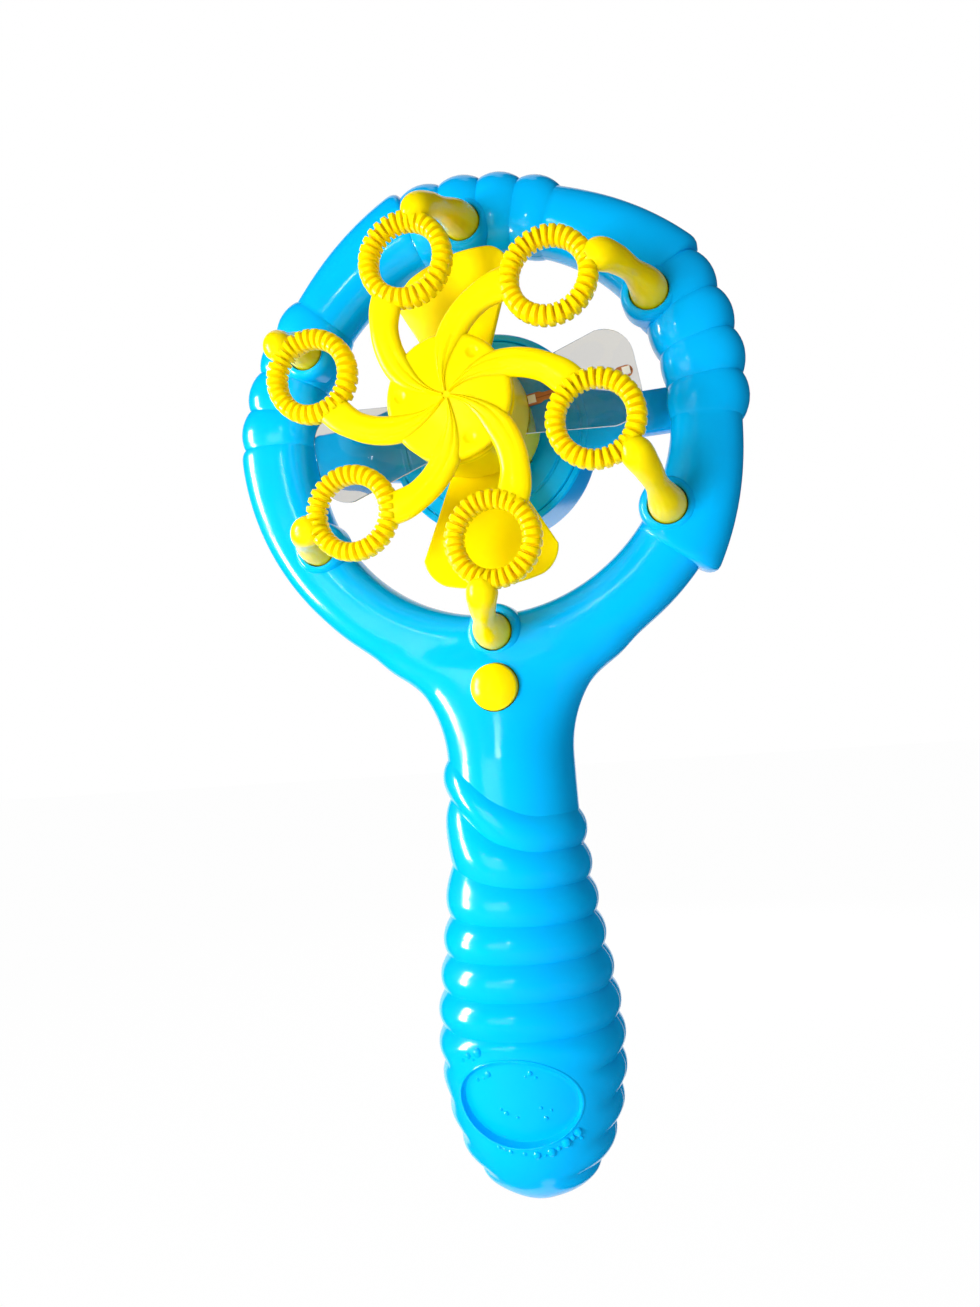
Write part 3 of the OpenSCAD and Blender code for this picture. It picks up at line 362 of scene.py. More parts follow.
# %% Hand a piece over
def bow(c, power):
    """A power that keeps the sign."""
    return copysign(abs(c) ** power, c)


def piece(name, bm, material, body, stands_for, sharp=32):
    """Finishes a drawn mesh as a piece that rides on a body and replaces plain solids."""
    bmesh.ops.scale(bm, vec=(MM, MM, MM), verts=bm.verts)
    o = as_object(name, bm)
    o.data.polygons.foreach_set("use_smooth", [True] * len(o.data.polygons))
    o.data.set_sharp_from_angle(angle=radians(sharp))
    o.data.materials.append(material)
    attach(o, body)
    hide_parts(*stands_for)
    print(name, len(o.data.polygons), "faces")


def bent_grid(bm, across, along, place):
    """A flat grid whose corner (i, j) is moved to place(i, j), in millimetres."""
    made = bmesh.ops.create_grid(bm, x_segments=across, y_segments=along, size=1)["verts"]
    for v in made:
        v.co = place(round((v.co.x + 1) / 2 * across), round((v.co.y + 1) / 2 * along))
    return made


def close_up(bm, gap=0.002):
    """Merges the seams of bent grids and turns the faces of closed shapes outwards."""
    bmesh.ops.remove_doubles(bm, verts=bm.verts, dist=gap)
    bmesh.ops.dissolve_degenerate(bm, edges=bm.edges, dist=gap / 4)
    bmesh.ops.recalc_face_normals(bm, faces=bm.faces)


def turned(bm, profile, centre, steps=64):
    """Turns (radius, y) points of a closed profile about a line along Y through centre (x, z)."""
    line = [bm.verts.new((r, y, 0)) for r, y in profile]
    ends = [bm.edges.new(pair) for pair in zip(line, line[1:])]
    if profile[0][0] > 0:
        ends.append(bm.edges.new((line[-1], line[0])))
    spun = set(bm.verts) - set(line)
    bmesh.ops.spin(bm, geom=line + ends, cent=(0, 0, 0), axis=(0, 1, 0),
                   angle=2 * pi, steps=steps, use_merge=True)
    own = [v for v in bm.verts if v not in spun]
    move(bm, own, (centre[0], 0, centre[1]))
    return own


def spaced(a, b, n):
    """Values from a to b in n even steps, both ends included."""
    return [a + (b - a) * k / n for k in range(n + 1)]


# %% [markdown]
# ## The ring's outside
# The ring is a fat tube with a rounded-box section. Round it run three groups of four bulging
# ribs, and after each group the tube swells into a fin that ends in a rounded step. A few
# formulas say how far the outside stands out at each angle, clockwise from the top, and the same
# formulas are used again wherever another piece has to meet the ring.

# %% Ring formulas
RING_R, RING_HALF_W, RING_HALF_D = 64.75, 10.25, 9.5
FIRST_STEP, FIN_PITCH, RIB_ZONE, STEP_ROUND = 273.0, 72.0, 38.0, 2.8
LAST_STEP = 3 * FIN_PITCH
ZONE_START, ZONE_END, FIN_STAND, RIB_STAND = 2.2, -0.8, 6.25, 1.88
FLARE_STAND, FLARE_START, FLARE_POWER = 4.0, 312, 1.3
SECTION_ROUND = 2.5


def ring_stand(deg):
    """How far the tube's outside stands beyond its plain size."""
    p = (deg - FIRST_STEP) % 360
    if p >= LAST_STEP:
        stand = FLARE_STAND * max(0, (p - FLARE_START) / (360 - FLARE_START)) ** FLARE_POWER
        left, after = 360 - p, ZONE_START
    else:
        f = p % FIN_PITCH
        if f < RIB_ZONE:
            return ZONE_START - (ZONE_START - ZONE_END) * f / RIB_ZONE
        stand = FIN_STAND * ((f - RIB_ZONE) / (FIN_PITCH - RIB_ZONE)) ** FLARE_POWER + ZONE_END
        left, after = FIN_PITCH - f, ZONE_START if p < 2 * FIN_PITCH else 0.0
    if left < STEP_ROUND:
        stand = after + (stand - after) * sqrt(1 - (1 - left / STEP_ROUND) ** 2)
    return stand


def ring_rib(deg):
    """How far a rib bulges at an angle."""
    p = (deg - FIRST_STEP) % 360
    f = p % FIN_PITCH
    if p >= LAST_STEP or f >= RIB_ZONE:
        return 0.0
    return RIB_STAND * abs(sin(pi * 4 * f / RIB_ZONE)) ** 0.7


def ring_sizes(deg):
    """Reach inwards, reach outwards and half depth of the section at an angle."""
    stand, rib = ring_stand(deg), ring_rib(deg)
    deep = RING_HALF_D + rib / 2 + 0.16 * max(0, stand)
    return RING_HALF_W + rib / 2, RING_HALF_W + stand + rib, deep


SEAM = 0.16


def ring_point(deg, phi):
    """Point on the front of the ring; phi runs from the inner edge, 0, to the outer edge, 180."""
    c, s = -cos(radians(phi)), sin(radians(phi))
    inner, outer, deep = ring_sizes(deg)
    reach = (inner if c < 0 else outer) - (SEAM if phi in (0, 180) else 0)
    r = RING_R + reach * bow(c, 2 / SECTION_ROUND)
    y = 0.0 if phi in (0, 180) else -deep * bow(s, 2 / SECTION_ROUND)
    a = radians(deg)
    return Vector((r * sin(a), y, FAN_Z + r * cos(a)))


print("ring reach at the top:", round(ring_point(0, 180).z, 2))

# %% [markdown]
# ## The handle's outside
# The grip is a bulb that thins into a neck and then flares into the ring. Round ribs run across
# it with sharp creases between; the upper creases sweep up at the left. Following the ribs with
# the rows of the mesh keeps each crease on one row, so it stays crisp. On the front they fade into
# a smooth pad round the oval plaque.

# %% Handle formulas
NECK_Z, TOP_Z, END_Z, GRIP_LOW = 68.0, 105.0, -54.85, -11.0
RIB_TOP, RIB_PITCH, RIB_H, RIB_LIFT = 52.5, 9.7, 1.7, 17.0
NECK_HALF_W, NECK_HALF_D, SWELL_W, SWELL_D = 18.5, 16.5, 6.5, 7.0
NECK_FLARE, FLARE_TOP = 36, 35.28
GRIP_ROUND = 2.15
GRIP_POWER = 2 / GRIP_ROUND
PLAQUE_Z, PLAQUE_W, PLAQUE_H, PAD = -22.0, 17.0, 12.0, 1.0


def half_sizes(z):
    """Half width and half depth of the handle at a height, without its ribs."""
    u = max(0.0, min(1.0, (NECK_Z - z) / (NECK_Z - GRIP_LOW))) ** 1.5
    swell = u * u * (3 - 2 * u)
    end = 1.0
    if z < GRIP_LOW:
        end = max(0.0, 1 - ((GRIP_LOW - z) / (GRIP_LOW - END_Z)) ** GRIP_ROUND) ** (1 / GRIP_ROUND)
    up = min(max(0.0, z - NECK_Z), FLARE_TOP)
    wide = end * (NECK_HALF_W + SWELL_W * swell) + NECK_FLARE - sqrt(NECK_FLARE ** 2 - up ** 2)
    deep = end * (NECK_HALF_D + SWELL_D * swell)
    if z > NECK_Z:
        deep = NECK_HALF_D - (NECK_HALF_D - RING_HALF_D) * (z - NECK_Z) / (TOP_Z - NECK_Z)
    return wide, deep


def rib_sweep(deg):
    """Share of the upward sweep at an angle: 1 at the left, 0 at the right."""
    t = max(0.0, min(1.0, (min(deg, 360 - deg) - 20) / 105))
    return (1 + cos(pi * t)) / 2


def crease_height(ribs, deg):
    """Height at which so many ribs lie above, at an angle from the left over the front."""
    z = RIB_TOP - RIB_PITCH * ribs
    for _ in range(40):
        z = RIB_TOP - RIB_PITCH * ribs + rib_sweep(deg) * RIB_LIFT / (1 + exp((43.5 - z) / 7))
    return z


def smooth_step(t):
    """An even ramp from 0 to 1 with soft ends."""
    t = max(0.0, min(1.0, t))
    return t * t * (3 - 2 * t)


def grip_point(deg, z, ribs, pad=False):
    """Point on the front of the grip, with its rib or, round the plaque, with the smooth pad."""
    wide, deep = half_sizes(z)
    f = ribs % 1
    rib = RIB_H * max(0.0, min(1.0, (z - END_Z) / 8)) * (1 - (2 * f - 1) ** 2)
    rib = min(rib, RIB_H * wide / 8)
    if deg in (0, 180):
        return Vector((-(wide + rib - min(SEAM, wide)) * cos(radians(deg)), 0, z))
    c, s = cos(radians(deg)), sin(radians(deg))
    if pad:
        reach = PLAQUE_H if z > PLAQUE_Z else 2.1 * PLAQUE_H
        level = PAD * min(1.0, wide / 8)
        far = hypot(1.42 * c, (z - PLAQUE_Z) / reach)
        rib = level + (rib - level) * smooth_step((far - 1.1) / 0.4)
    return Vector((-(wide + rib) * bow(c, GRIP_POWER), -(deep + rib) * bow(s, GRIP_POWER), z))


print("first crease: left", round(crease_height(0, 0), 1), "right", round(crease_height(0, 180), 1))

# %% [markdown]
# ## Where the neck meets the ring
# A real mould has a soft fillet there. One way is to join two meshes and smooth the seam; the
# gloss then shows every wobble. Here the two shapes are written as distances instead, and a
# smooth minimum blends them. Any rough grid laid near the blend is then pulled on to it in a few
# steps along the slope, which gives a clean and even surface.

# %% Blend of neck and ring
def ring_gap(p):
    """Rough distance of a point from the ring, negative inside."""
    r = hypot(p.x, p.z - FAN_Z)
    inner, outer, deep = ring_sizes(degrees(atan2(p.x, p.z - FAN_Z)))
    across = abs(r - RING_R) / (inner if r < RING_R else outer)
    size = (across ** SECTION_ROUND + (abs(p.y) / deep) ** SECTION_ROUND) ** (1 / SECTION_ROUND)
    return (size - 1) * deep


def neck_gap(p):
    """Rough distance of a point from the neck, negative inside."""
    wide, deep = half_sizes(p.z)
    size = ((abs(p.x) / wide) ** GRIP_ROUND + (abs(p.y) / deep) ** GRIP_ROUND) ** (1 / GRIP_ROUND)
    over = max(0.0, p.z - 94)
    return (size - 1) * min(wide, deep) + 0.9 * (over ** 2 / 12 if over < 6 else over - 3)


def body_gap(p, soft=6.0):
    """Smooth minimum of both distances."""
    a, b = ring_gap(p), neck_gap(p)
    h = max(0.0, soft - abs(a - b)) / soft
    return min(a, b) - h * h * soft / 4


def settle(p, depth=0.0):
    """Pulls a point on to the blended body, or a little below its surface."""
    p = p.copy()
    for _ in range(6):
        gap = body_gap(p) + depth
        slope = Vector([(body_gap(p + d) - body_gap(p - d)) / 0.04
                        for d in (Vector((0.02, 0, 0)), Vector((0, 0.02, 0)), Vector((0, 0, 0.02)))])
        if slope.length_squared < 1e-6:
            break
        p -= slope * (gap / slope.length_squared)
    return p


NOTCH = (218.0, 142.0)
PHI_JOIN = 76.0
inner_phis = [0, 0.5, 4] + spaced(9, PHI_JOIN, 11)
outer_phis = spaced(PHI_JOIN, 171, 15) + [176, 179.5, 180]
side_cols, front_cols = len(outer_phis) - 1, 48
grip_degs = [0, 0.6] + spaced(3.2, 176.8, 2 * side_cols + front_cols - 4) + [179.4, 180]


def ring_vertex(deg, phi):
    """Ring point, on the blend where the neck is near."""
    p = ring_point(deg, phi)
    if 124 < deg % 360 < 236:
        p = settle(p, SEAM if phi in (0, 180) else 0.0)
    return p


print("columns round the front of the grip:", len(grip_degs) - 1)


# %% [markdown]
# ## One half of the body as a sheet
# The front is four grids that share their edges: the ring with all its ribs and fins, the strip
# inside the ring below the hole, the neck, and the grip down to its round end. Stations lie
# closer where a rib creases or a fin ends.

# %% Stations
def ring_stations():
    """Angles round the ring from one side of the neck over the top to the other side."""
    stations = spaced(NOTCH[0], FIRST_STEP - STEP_ROUND, 40)[:-1]
    rounding = [STEP_ROUND * (1 - sin(radians(a))) for a in (0, 18, 36, 52, 65, 76, 84)]
    stations += [FIRST_STEP - r for r in rounding]
    for k in range(3):
        start = FIRST_STEP + k * FIN_PITCH
        for rib in range(4):
            stations += [start + RIB_ZONE / 4 * (rib + part) for part in
                         (0, 0.03, 0.09, 0.17, 0.27, 0.38, 0.5, 0.62, 0.73, 0.83, 0.91, 0.97)]
        stations += spaced(start + RIB_ZONE, start + FIN_PITCH - STEP_ROUND, 26)[:-1]
        stations += [start + FIN_PITCH - r for r in rounding]
    return stations + spaced(FIRST_STEP + LAST_STEP, 360 + NOTCH[1], 10)


def grip_rows():
    """(ribs above, height or None where the height follows the crease) from neck to end."""
    rows = [(k / 12, None) for k in range(9 * 12)]
    rows += [((RIB_TOP - z) / RIB_PITCH, z) for z in spaced(-34.8, -44.5, 12)[:-1]]
    start = asin(((GRIP_LOW + 44.5) / (GRIP_LOW - END_Z)) ** (GRIP_ROUND / 2))
    for a in spaced(start, pi / 2, 26):
        z = GRIP_LOW - (GRIP_LOW - END_Z) * sin(a) ** GRIP_POWER
        rows.append(((RIB_TOP - z) / RIB_PITCH, z))
    return rows


stations, rows = ring_stations(), grip_rows()
print("stations round the ring:", len(stations), "rows down the grip:", len(rows))


# %% The front sheet
def notch_point(i):
    """Corner i of the neck's upper edge, where it meets the ring."""
    if i <= side_cols:
        return ring_vertex(NOTCH[0], outer_phis[side_cols - i])
    if i >= side_cols + front_cols:
        return ring_vertex(NOTCH[1], outer_phis[i - side_cols - front_cols])
    return ring_vertex(NOTCH[0] + (NOTCH[1] - NOTCH[0]) * (i - side_cols) / front_cols, PHI_JOIN)


NECK_ROWS = 44


def body_sheet(pad):
    """The front of ring, neck and grip as one open sheet, with or without the pad."""
    bm = bmesh.new()
    phis = inner_phis + outer_phis[1:]
    bent_grid(bm, len(stations) - 1, len(phis) - 1, lambda i, j: ring_vertex(stations[i], phis[j]))
    span = (NOTCH[1] - NOTCH[0]) / front_cols
    bent_grid(bm, front_cols, len(inner_phis) - 1,
              lambda i, j: ring_vertex(NOTCH[0] + span * i, inner_phis[j]))
    cols = len(grip_degs) - 1
    upper = [notch_point(i) for i in range(cols + 1)]
    lower = [grip_point(d, crease_height(0, d), 0) for d in grip_degs]

    def neck(i, j):
        if j in (0, NECK_ROWS):
            return upper[i] if j else lower[i]
        t, a, b = j / NECK_ROWS, lower[i], upper[i]
        bend = Vector((a.x, (a.y + b.y) / 2, a.z + 0.75 * (b.z - a.z)))
        bend = bend.lerp((a + b) / 2, smooth_step((min(i, cols - i) - 5) / 14))
        p = a.lerp(bend, t).lerp(bend.lerp(b, t), t)
        return settle(p, SEAM if i in (0, cols) else 0.0)

    lines = [[neck(i, j) for j in range(NECK_ROWS + 1)] for i in range(cols + 1)]
    for i in [k for k in range(cols + 1) if min(k, cols - k) < 22] * 5:
        near = [(a + b) / 2 for a, b in zip(lines[i], lines[i][2:])]
        lines[i][1:-1] = [settle(p, SEAM if i in (0, cols) else 0.0) for p in near]
    bent_grid(bm, cols, NECK_ROWS, lambda i, j: lines[i][j])

    def grip(i, j):
        ribs, z = rows[j]
        return grip_point(grip_degs[i], crease_height(ribs, grip_degs[i]) if z is None else z, ribs,
                          pad)

    bent_grid(bm, cols, len(rows) - 1, grip)
    close_up(bm)
    front = max(bm.faces, key=lambda f: -f.calc_center_median().y)
    if front.normal.y > 0:
        bmesh.ops.reverse_faces(bm, faces=bm.faces)
    return bm


sheet = body_sheet(True)
print("front sheet:", len(sheet.faces), "faces, open edges", sum(e.is_boundary for e in sheet.edges))

# %% [markdown]
# ## From sheet to shell
# A moulded shell has a wall of about two millimetres. Solidify grows it inwards from the sheet,
# and whatever crosses the plane where the halves meet is pressed back to it. Holes are cut with
# plain cutters, as a toolmaker's core pins would leave them.

# %% Walls and cuts
def walled(bm, name, wall, side):
    """Gives a sheet a wall, keeps it on its side of the middle plane, and returns an object."""
    o = as_object(name, bm.copy())
    grow = o.modifiers.new("wall", "SOLIDIFY")
    grow.thickness = wall
    grow.offset = -1
    solid = bake(o)
    for v in solid.data.vertices:
        v.co.y = min(v.co.y, 0.0) if side < 0 else max(v.co.y, 0.0)
    return solid


def bake(o):
    """Replaces an object's mesh by what its modifiers make of it."""
    graph = bpy.context.evaluated_depsgraph_get()
    done = bpy.data.meshes.new_from_object(o.evaluated_get(graph))
    o.modifiers.clear()
    o.data = done
    return o


def cut(o, cutter_bm, how="DIFFERENCE"):
    """Cuts an object with a mesh drawn in the same units."""
    tool = as_object("cutter", cutter_bm)
    m = o.modifiers.new("cut", "BOOLEAN")
    m.operation, m.solver, m.object = how, "MANIFOLD", tool
    before = len(o.data.polygons)
    bake(o)
    bpy.data.objects.remove(tool)
    print(o.name, how.lower(), before, "->", len(o.data.polygons), "faces")


def pin(bm, x, z, y0, y1, r, sides=64):
    """A straight round cutter along Y."""
    made = bmesh.ops.create_cone(bm, cap_ends=True, segments=sides, radius1=r, radius2=r, depth=y1 - y0)
    bmesh.ops.rotate(bm, verts=made["verts"], cent=(0, 0, 0), matrix=turn("X", 90))
    move(bm, made["verts"], (x, (y0 + y1) / 2, z))
    return made["verts"]


def block(bm, low, high):
    """A box cutter between two corners."""
    made = bmesh.ops.create_cube(bm, size=1)["verts"]
    bmesh.ops.scale(bm, verts=made, vec=[b - a for a, b in zip(low, high)])
    move(bm, made, [(a + b) / 2 for a, b in zip(low, high)])
    return made


def on_clock(r, deg):
    """x and z of a place round the fan's axis, clockwise from the top."""
    return r * sin(radians(deg)), FAN_Z + r * cos(radians(deg))


sockets = [on_clock(60, 60 * k) for k in range(6)]
BUTTON_Z, WALL, DOOR_WALL = 89.0, 2.2, 2.9
shell = walled(sheet, "front_shell_skin", WALL, -1)
holes = bmesh.new()
for x, z in sockets:
    pin(holes, x, z, -16, -3, 6.4)
pin(holes, 0, BUTTON_Z, -24, -4, 6.95)
oval = pin(holes, 0, 0, -40, -10, 1.0, 96)
bmesh.ops.scale(holes, verts=oval, vec=(PLAQUE_W, 1, PLAQUE_H))
move(holes, oval, (0, 0, PLAQUE_Z))
cut(shell, holes)

# %% [markdown]
# ## Sockets, plaque and the rest of the front shell
# Each of the six feet of the dipping wheel stands in a cup with a low raised collar; a cup is one
# turned profile. The oval plaque is a dish that is sunk into the grip's pad, deepest below. Its
# floor keeps the curve of the grip, and its edge is a thin lip. A scatter of small domes, like
# bubbles that rise, lies on the floor and round the edge.

# %% Cups and dish
def cup_profile():
    """Closed (radius, y) outline of one socket cup."""
    lip = [(6.0 + 0.4 * cos(a), -10.2 - 0.4 * sin(a))
           for a in spaced(pi, pi / 2, 5)]
    flank = [(6.1 + 2.1 * sin(a), -7.2 - 3.4 * cos(a)) for a in spaced(0.1, 1.5, 10)]
    return [(0, -4.45), (5.6, -4.45)] + lip + flank + [(8.2, -2.6), (0, -2.6)]


def pad_y(x, z):
    """y of the smooth pad on the grip's front."""
    wide, deep = half_sizes(z)
    return -(deep + PAD) * max(0.0, 1 - (abs(x) / (wide + PAD)) ** GRIP_ROUND) ** (1 / GRIP_ROUND)


def floor_y(x, z):
    """y of the dish's floor, which is deepest below."""
    return pad_y(x, z) + 1.9 - 0.1 * (z - PLAQUE_Z) - 0.03 * x


def plaque_dish(bm):
    """Floor, side, lip and back of the oval dish, ring by ring from its middle."""
    def place(i, j):
        a = 2 * pi * i / 96

        def at(share, y_from, more=0.0):
            x, z = share * PLAQUE_W * cos(a), PLAQUE_Z + share * PLAQUE_H * sin(a)
            return Vector((x, y_from(x, z) + more, z))

        if j <= 10:
            return at(0.85 * j / 10, floor_y)
        if j <= 14:
            t = radians(22.5 * (j - 10))
            return at(0.85 + 0.09 * sin(t), floor_y, -0.45 * (1 - cos(t)))
        if j == 15:
            return at(0.978, pad_y, 0.3)
        if j <= 25:
            t = radians(180 - 20 * (j - 16))
            return at(1.004 + 0.024 * cos(t), pad_y, 0.12 - 0.4 * sin(t))
        if j == 26:
            return at(1.028, pad_y, 3.2)
        return at(1.0 if j == 27 else 0.0, floor_y, 1.2)

    return bent_grid(bm, 96, 28, place)


BUBBLES = [
    (-12.8, 12.3, 0.85), (-9.9, 13.5, 1.25), (-14.6, 10.8, 0.55), (-11.4, 11.4, 0.45),
    (-7.7, 7.6, 0.9), (-11.0, 5.6, 0.55), (-9.0, 6.2, 0.4), (4.2, 8.4, 0.7), (5.7, 7.2, 0.4),
    (2.8, 7.4, 0.35), (-3.6, -3.0, 0.6), (-5.0, -1.9, 0.4), (6.0, -1.2, 0.5), (8.6, -2.0, 0.4),
    (7.0, -4.2, 0.6), (-0.6, -4.0, 0.4), (-6.4, -12.0, 0.6), (-4.8, -12.5, 0.4), (-3.2, -13.0, 0.6),
    (0.5, -13.4, 0.6), (3.8, -13.7, 1.1), (5.9, -13.9, 0.45), (7.7, -13.0, 1.2), (9.6, -12.2, 0.65),
    (11.6, -10.7, 1.4), (13.3, -9.6, 0.8), (14.8, -8.4, 1.2), (15.4, -10.4, 0.55)]


def bubble(bm, x, up, r):
    """A low dome on the pad, or on the dish's floor."""
    z = PLAQUE_Z + up
    inside = hypot(x / PLAQUE_W, up / PLAQUE_H) < 0.95
    ball = bmesh.ops.create_uvsphere(bm, u_segments=16, v_segments=10, radius=r)["verts"]
    bmesh.ops.scale(bm, verts=ball, vec=(1, 0.75, 1))
    move(bm, ball, (x, floor_y(x, z) if inside else pad_y(x, z), z))


# %% Front shell
def finish_shell(o, details, name, body, node):
    """Joins a cut shell with its drawn details and hands the piece over."""
    bm = drawn_again(o)
    close_up(details)
    mesh = bpy.data.meshes.new("details")
    details.to_mesh(mesh)
    details.free()
    bm.from_mesh(mesh)
    piece(name, bm, pool_blue, body, [node])


extra = bmesh.new()
for x, z in sockets:
    turned(extra, cup_profile(), (x, z))
plaque_dish(extra)
for x, up, r in BUBBLES:
    bubble(extra, x, up, r)
finish_shell(shell, extra, "front_shell_skin", "root", "front_shell")

# %% [markdown]
# ## Rear shell and battery door
# The back is the same sheet seen in a mirror. It has the screw holes, the two pockets for the bar
# and the doorway for the cells. The door is cut from a second copy of the sheet with a slightly
# smaller box, so its face carries on the grip's ribs with a thin gap all round.

# %% Rear sheet
def mirrored(bm):
    """A copy on the other side of the plane where the halves meet."""
    other = bm.copy()
    bmesh.ops.scale(other, vec=(1, -1, 1), verts=other.verts)
    bmesh.ops.reverse_faces(other, faces=other.faces)
    return other


SCREWS = [on_clock(RING_R, a) for a in (35, 138, 222, 325)] + [(0, -44.5), (0, 50)]
DOOR_HALF, DOOR_LOW, DOOR_TOP, DOOR_SCREW_Z = 17.15, -37.2, 33.7, 29.65
plain_sheet = mirrored(body_sheet(False))
rear = walled(plain_sheet, "rear_shell_skin", WALL, 1)
door = walled(plain_sheet, "battery_door_skin", DOOR_WALL, 1)
holes = bmesh.new()
for x, z in SCREWS:
    pin(holes, x, z, 2, 40, 3.1)
for s in (-1, 1):
    low, high = sorted((s * 50.0, s * 61.0))
    block(holes, (low, 1.9, FAN_Z - 6.6), (high, 8.0, FAN_Z + 6.6))
block(holes, (-DOOR_HALF - 0.3, 4, DOOR_LOW - 0.3), (DOOR_HALF + 0.3, 60, DOOR_TOP + 0.3))
cut(rear, holes)
frame_box = bmesh.new()
block(frame_box, (-DOOR_HALF, 4, DOOR_LOW), (DOOR_HALF, 60, DOOR_TOP))
cut(door, frame_box, "INTERSECT")
hole = bmesh.new()
pin(hole, 0, DOOR_SCREW_Z, 2, 40, 3.1)
cut(door, hole)

# %% Rear shell and door
def screw_well(bm, x, z, seat, top):
    """A tube round a screw's head, with a floor that the screw passes through."""
    turned(bm, [(1.8, seat - 1.4), (1.8, seat), (3.1, seat), (3.1, top), (4.4, top), (4.4, seat - 1.4)],
           (x, z), 40)


wells = bmesh.new()
for x, z in SCREWS:
    top = 8.6 if abs(z - FAN_Z) < 70 else half_sizes(z)[1] - 1.2
    screw_well(wells, x, z, 4.5, top)
finish_shell(rear, wells, "rear_shell_skin", "root", "rear_shell")

well = bmesh.new()
screw_well(well, 0, DOOR_SCREW_Z, 14.7, half_sizes(DOOR_SCREW_Z)[1] - 1.2)
finish_shell(door, well, "battery_door_skin", "door", "battery_door")

# %% [markdown]
# ## Dipping wheel: disc and arms
# Six curved arms run in a spiral from the middle of a flat disc out to six loops. Close to the
# middle each arm is a slim band with two fine creases; it widens outwards and becomes smooth and
# round. An arm follows a circle of 22 mm through the middle, so its place at any distance is an
# arcsine. The disc has three shallow dimples.

# %% Disc
LOOP_Y, LOOP_RING, LOOP_R, LOOP_TURN, ARM_BEND = -37.5, 39.7, 10.4, 13.2, 22.0
DISC_R, DIMPLE_R = 17.0, 1.6
dimples = [on_clock(13.0, a) for a in (36, 156, 276)]


def disc_front(r):
    """How far the disc's face stands in front of the wheel's middle plane."""
    return 2.2 - (r / DISC_R) ** 2 - 0.9 * max(0.0, (r - 15.6) / 1.4) ** 2.4


def disc(bm):
    """The wheel's disc with its dimples, turned from its middle to its back."""
    radii = spaced(0, 15.4, 44) + [15.9, 16.3, 16.65, 16.88, DISC_R]

    def place(i, j):
        a = 2 * pi * i / 180
        if j < len(radii):
            r, y = radii[j], -disc_front(radii[j])
        else:
            r, y = ((DISC_R, 1.0), (16.7, 1.3), (0.0, 1.3))[j - len(radii)]
        x, z = r * sin(a), r * cos(a)
        for dx, dz in dimples:
            d = hypot(x - dx, z + FAN_Z - dz)
            if j < len(radii) and d < DIMPLE_R:
                y += 0.8 * (1 - (d / DIMPLE_R) ** 2) ** 0.6
        return Vector((x, LOOP_Y + y, FAN_Z + z))

    bent_grid(bm, 180, len(radii) + 2, place)


# %% Arms
def arm_line(loop_deg, rho):
    """Place and sideways direction on an arm's middle line, at a distance from the centre."""
    a = radians(loop_deg - 61.9) + asin(rho / 2 / ARM_BEND)
    p = Vector((rho * sin(a), 0, rho * cos(a)))
    m = radians(loop_deg + 28.1)
    middle = Vector((ARM_BEND * sin(m), 0, ARM_BEND * cos(m)))
    return p, (p - middle).normalized()


def arm(bm, loop_deg):
    """A band from the disc's middle to a loop; two creases run along it and fade outwards."""
    distances = spaced(0.6, 33.4, 72)

    def place(i, j):
        rho = distances[j]
        p, side = arm_line(loop_deg, rho)
        wide = 0.55 + 3.3 * smooth_step(rho / 17) + 0.5 * smooth_step((rho - 26) / 5)
        crest = disc_front(min(rho, 16)) + 0.75 + 0.5 * smooth_step((rho - 6) / 14)
        if j in (0, len(distances) - 1):
            return Vector((p.x, LOOP_Y - crest * 0.5, FAN_Z + p.z))
        t = radians(360 * i / 48)
        d = -cos(t)
        if sin(t) >= 0:
            lobes = 1 - abs(cos(1.5 * pi * d))
            fade = 1 - smooth_step((rho - 16) / 14)
            y = -(crest * sin(t) ** 0.75 - 0.55 * fade * lobes ** 2 * sin(t))
        else:
            y = 1.7 * abs(sin(t)) ** 0.6
        return Vector((p.x + side.x * wide * d, LOOP_Y + y, FAN_Z + p.z + side.z * wide * d))

    bent_grid(bm, 48, len(distances) - 1, place)


# %% [markdown]
# ## Dipping wheel: loops and posts
# Deep slots between 32 thin fins run across each loop, from its front and from its back, and hold
# the bubble liquid. The mould opens to the front, so the slots do too, and the loop's outline
# stays round. A post leaves each loop, swells to a knob, thins to a waist and ends in a stout
# foot that plugs into a socket on the ring.

# %% Loops
TEETH = 32


def loop(bm, deg):
    """A ring of fins and slots round a dipping hole."""
    x0, z0 = on_clock(LOOP_RING, deg)
    around, sides = TEETH * 12, 24

    def place(i, j):
        a = 2 * pi * i / around
        fin = smooth_step((cos(TEETH * a) + 0.85) / 0.6)
        t = 2 * pi * j / sides
        r = LOOP_R + (2.25 + 0.35 * fin) * bow(cos(t), 0.85)
        y = (1.5 + 2.2 * fin) * bow(sin(t), 0.85)
        return Vector((x0 + r * sin(a), LOOP_Y + y, z0 + r * cos(a)))

    bent_grid(bm, around, sides, place)


# %% Posts
def along(points, t):
    """Smooth curve through points, with t counted in points."""
    k = min(int(t), len(points) - 2)
    a, b, c, d = (points[max(0, min(len(points) - 1, k + n))] for n in (-1, 0, 1, 2))
    t -= k
    bend, twist = 2 * a - 5 * b + 4 * c - d, 3 * b - a - 3 * c + d
    return 0.5 * (2 * b + (c - a) * t + bend * t * t + twist * t ** 3)


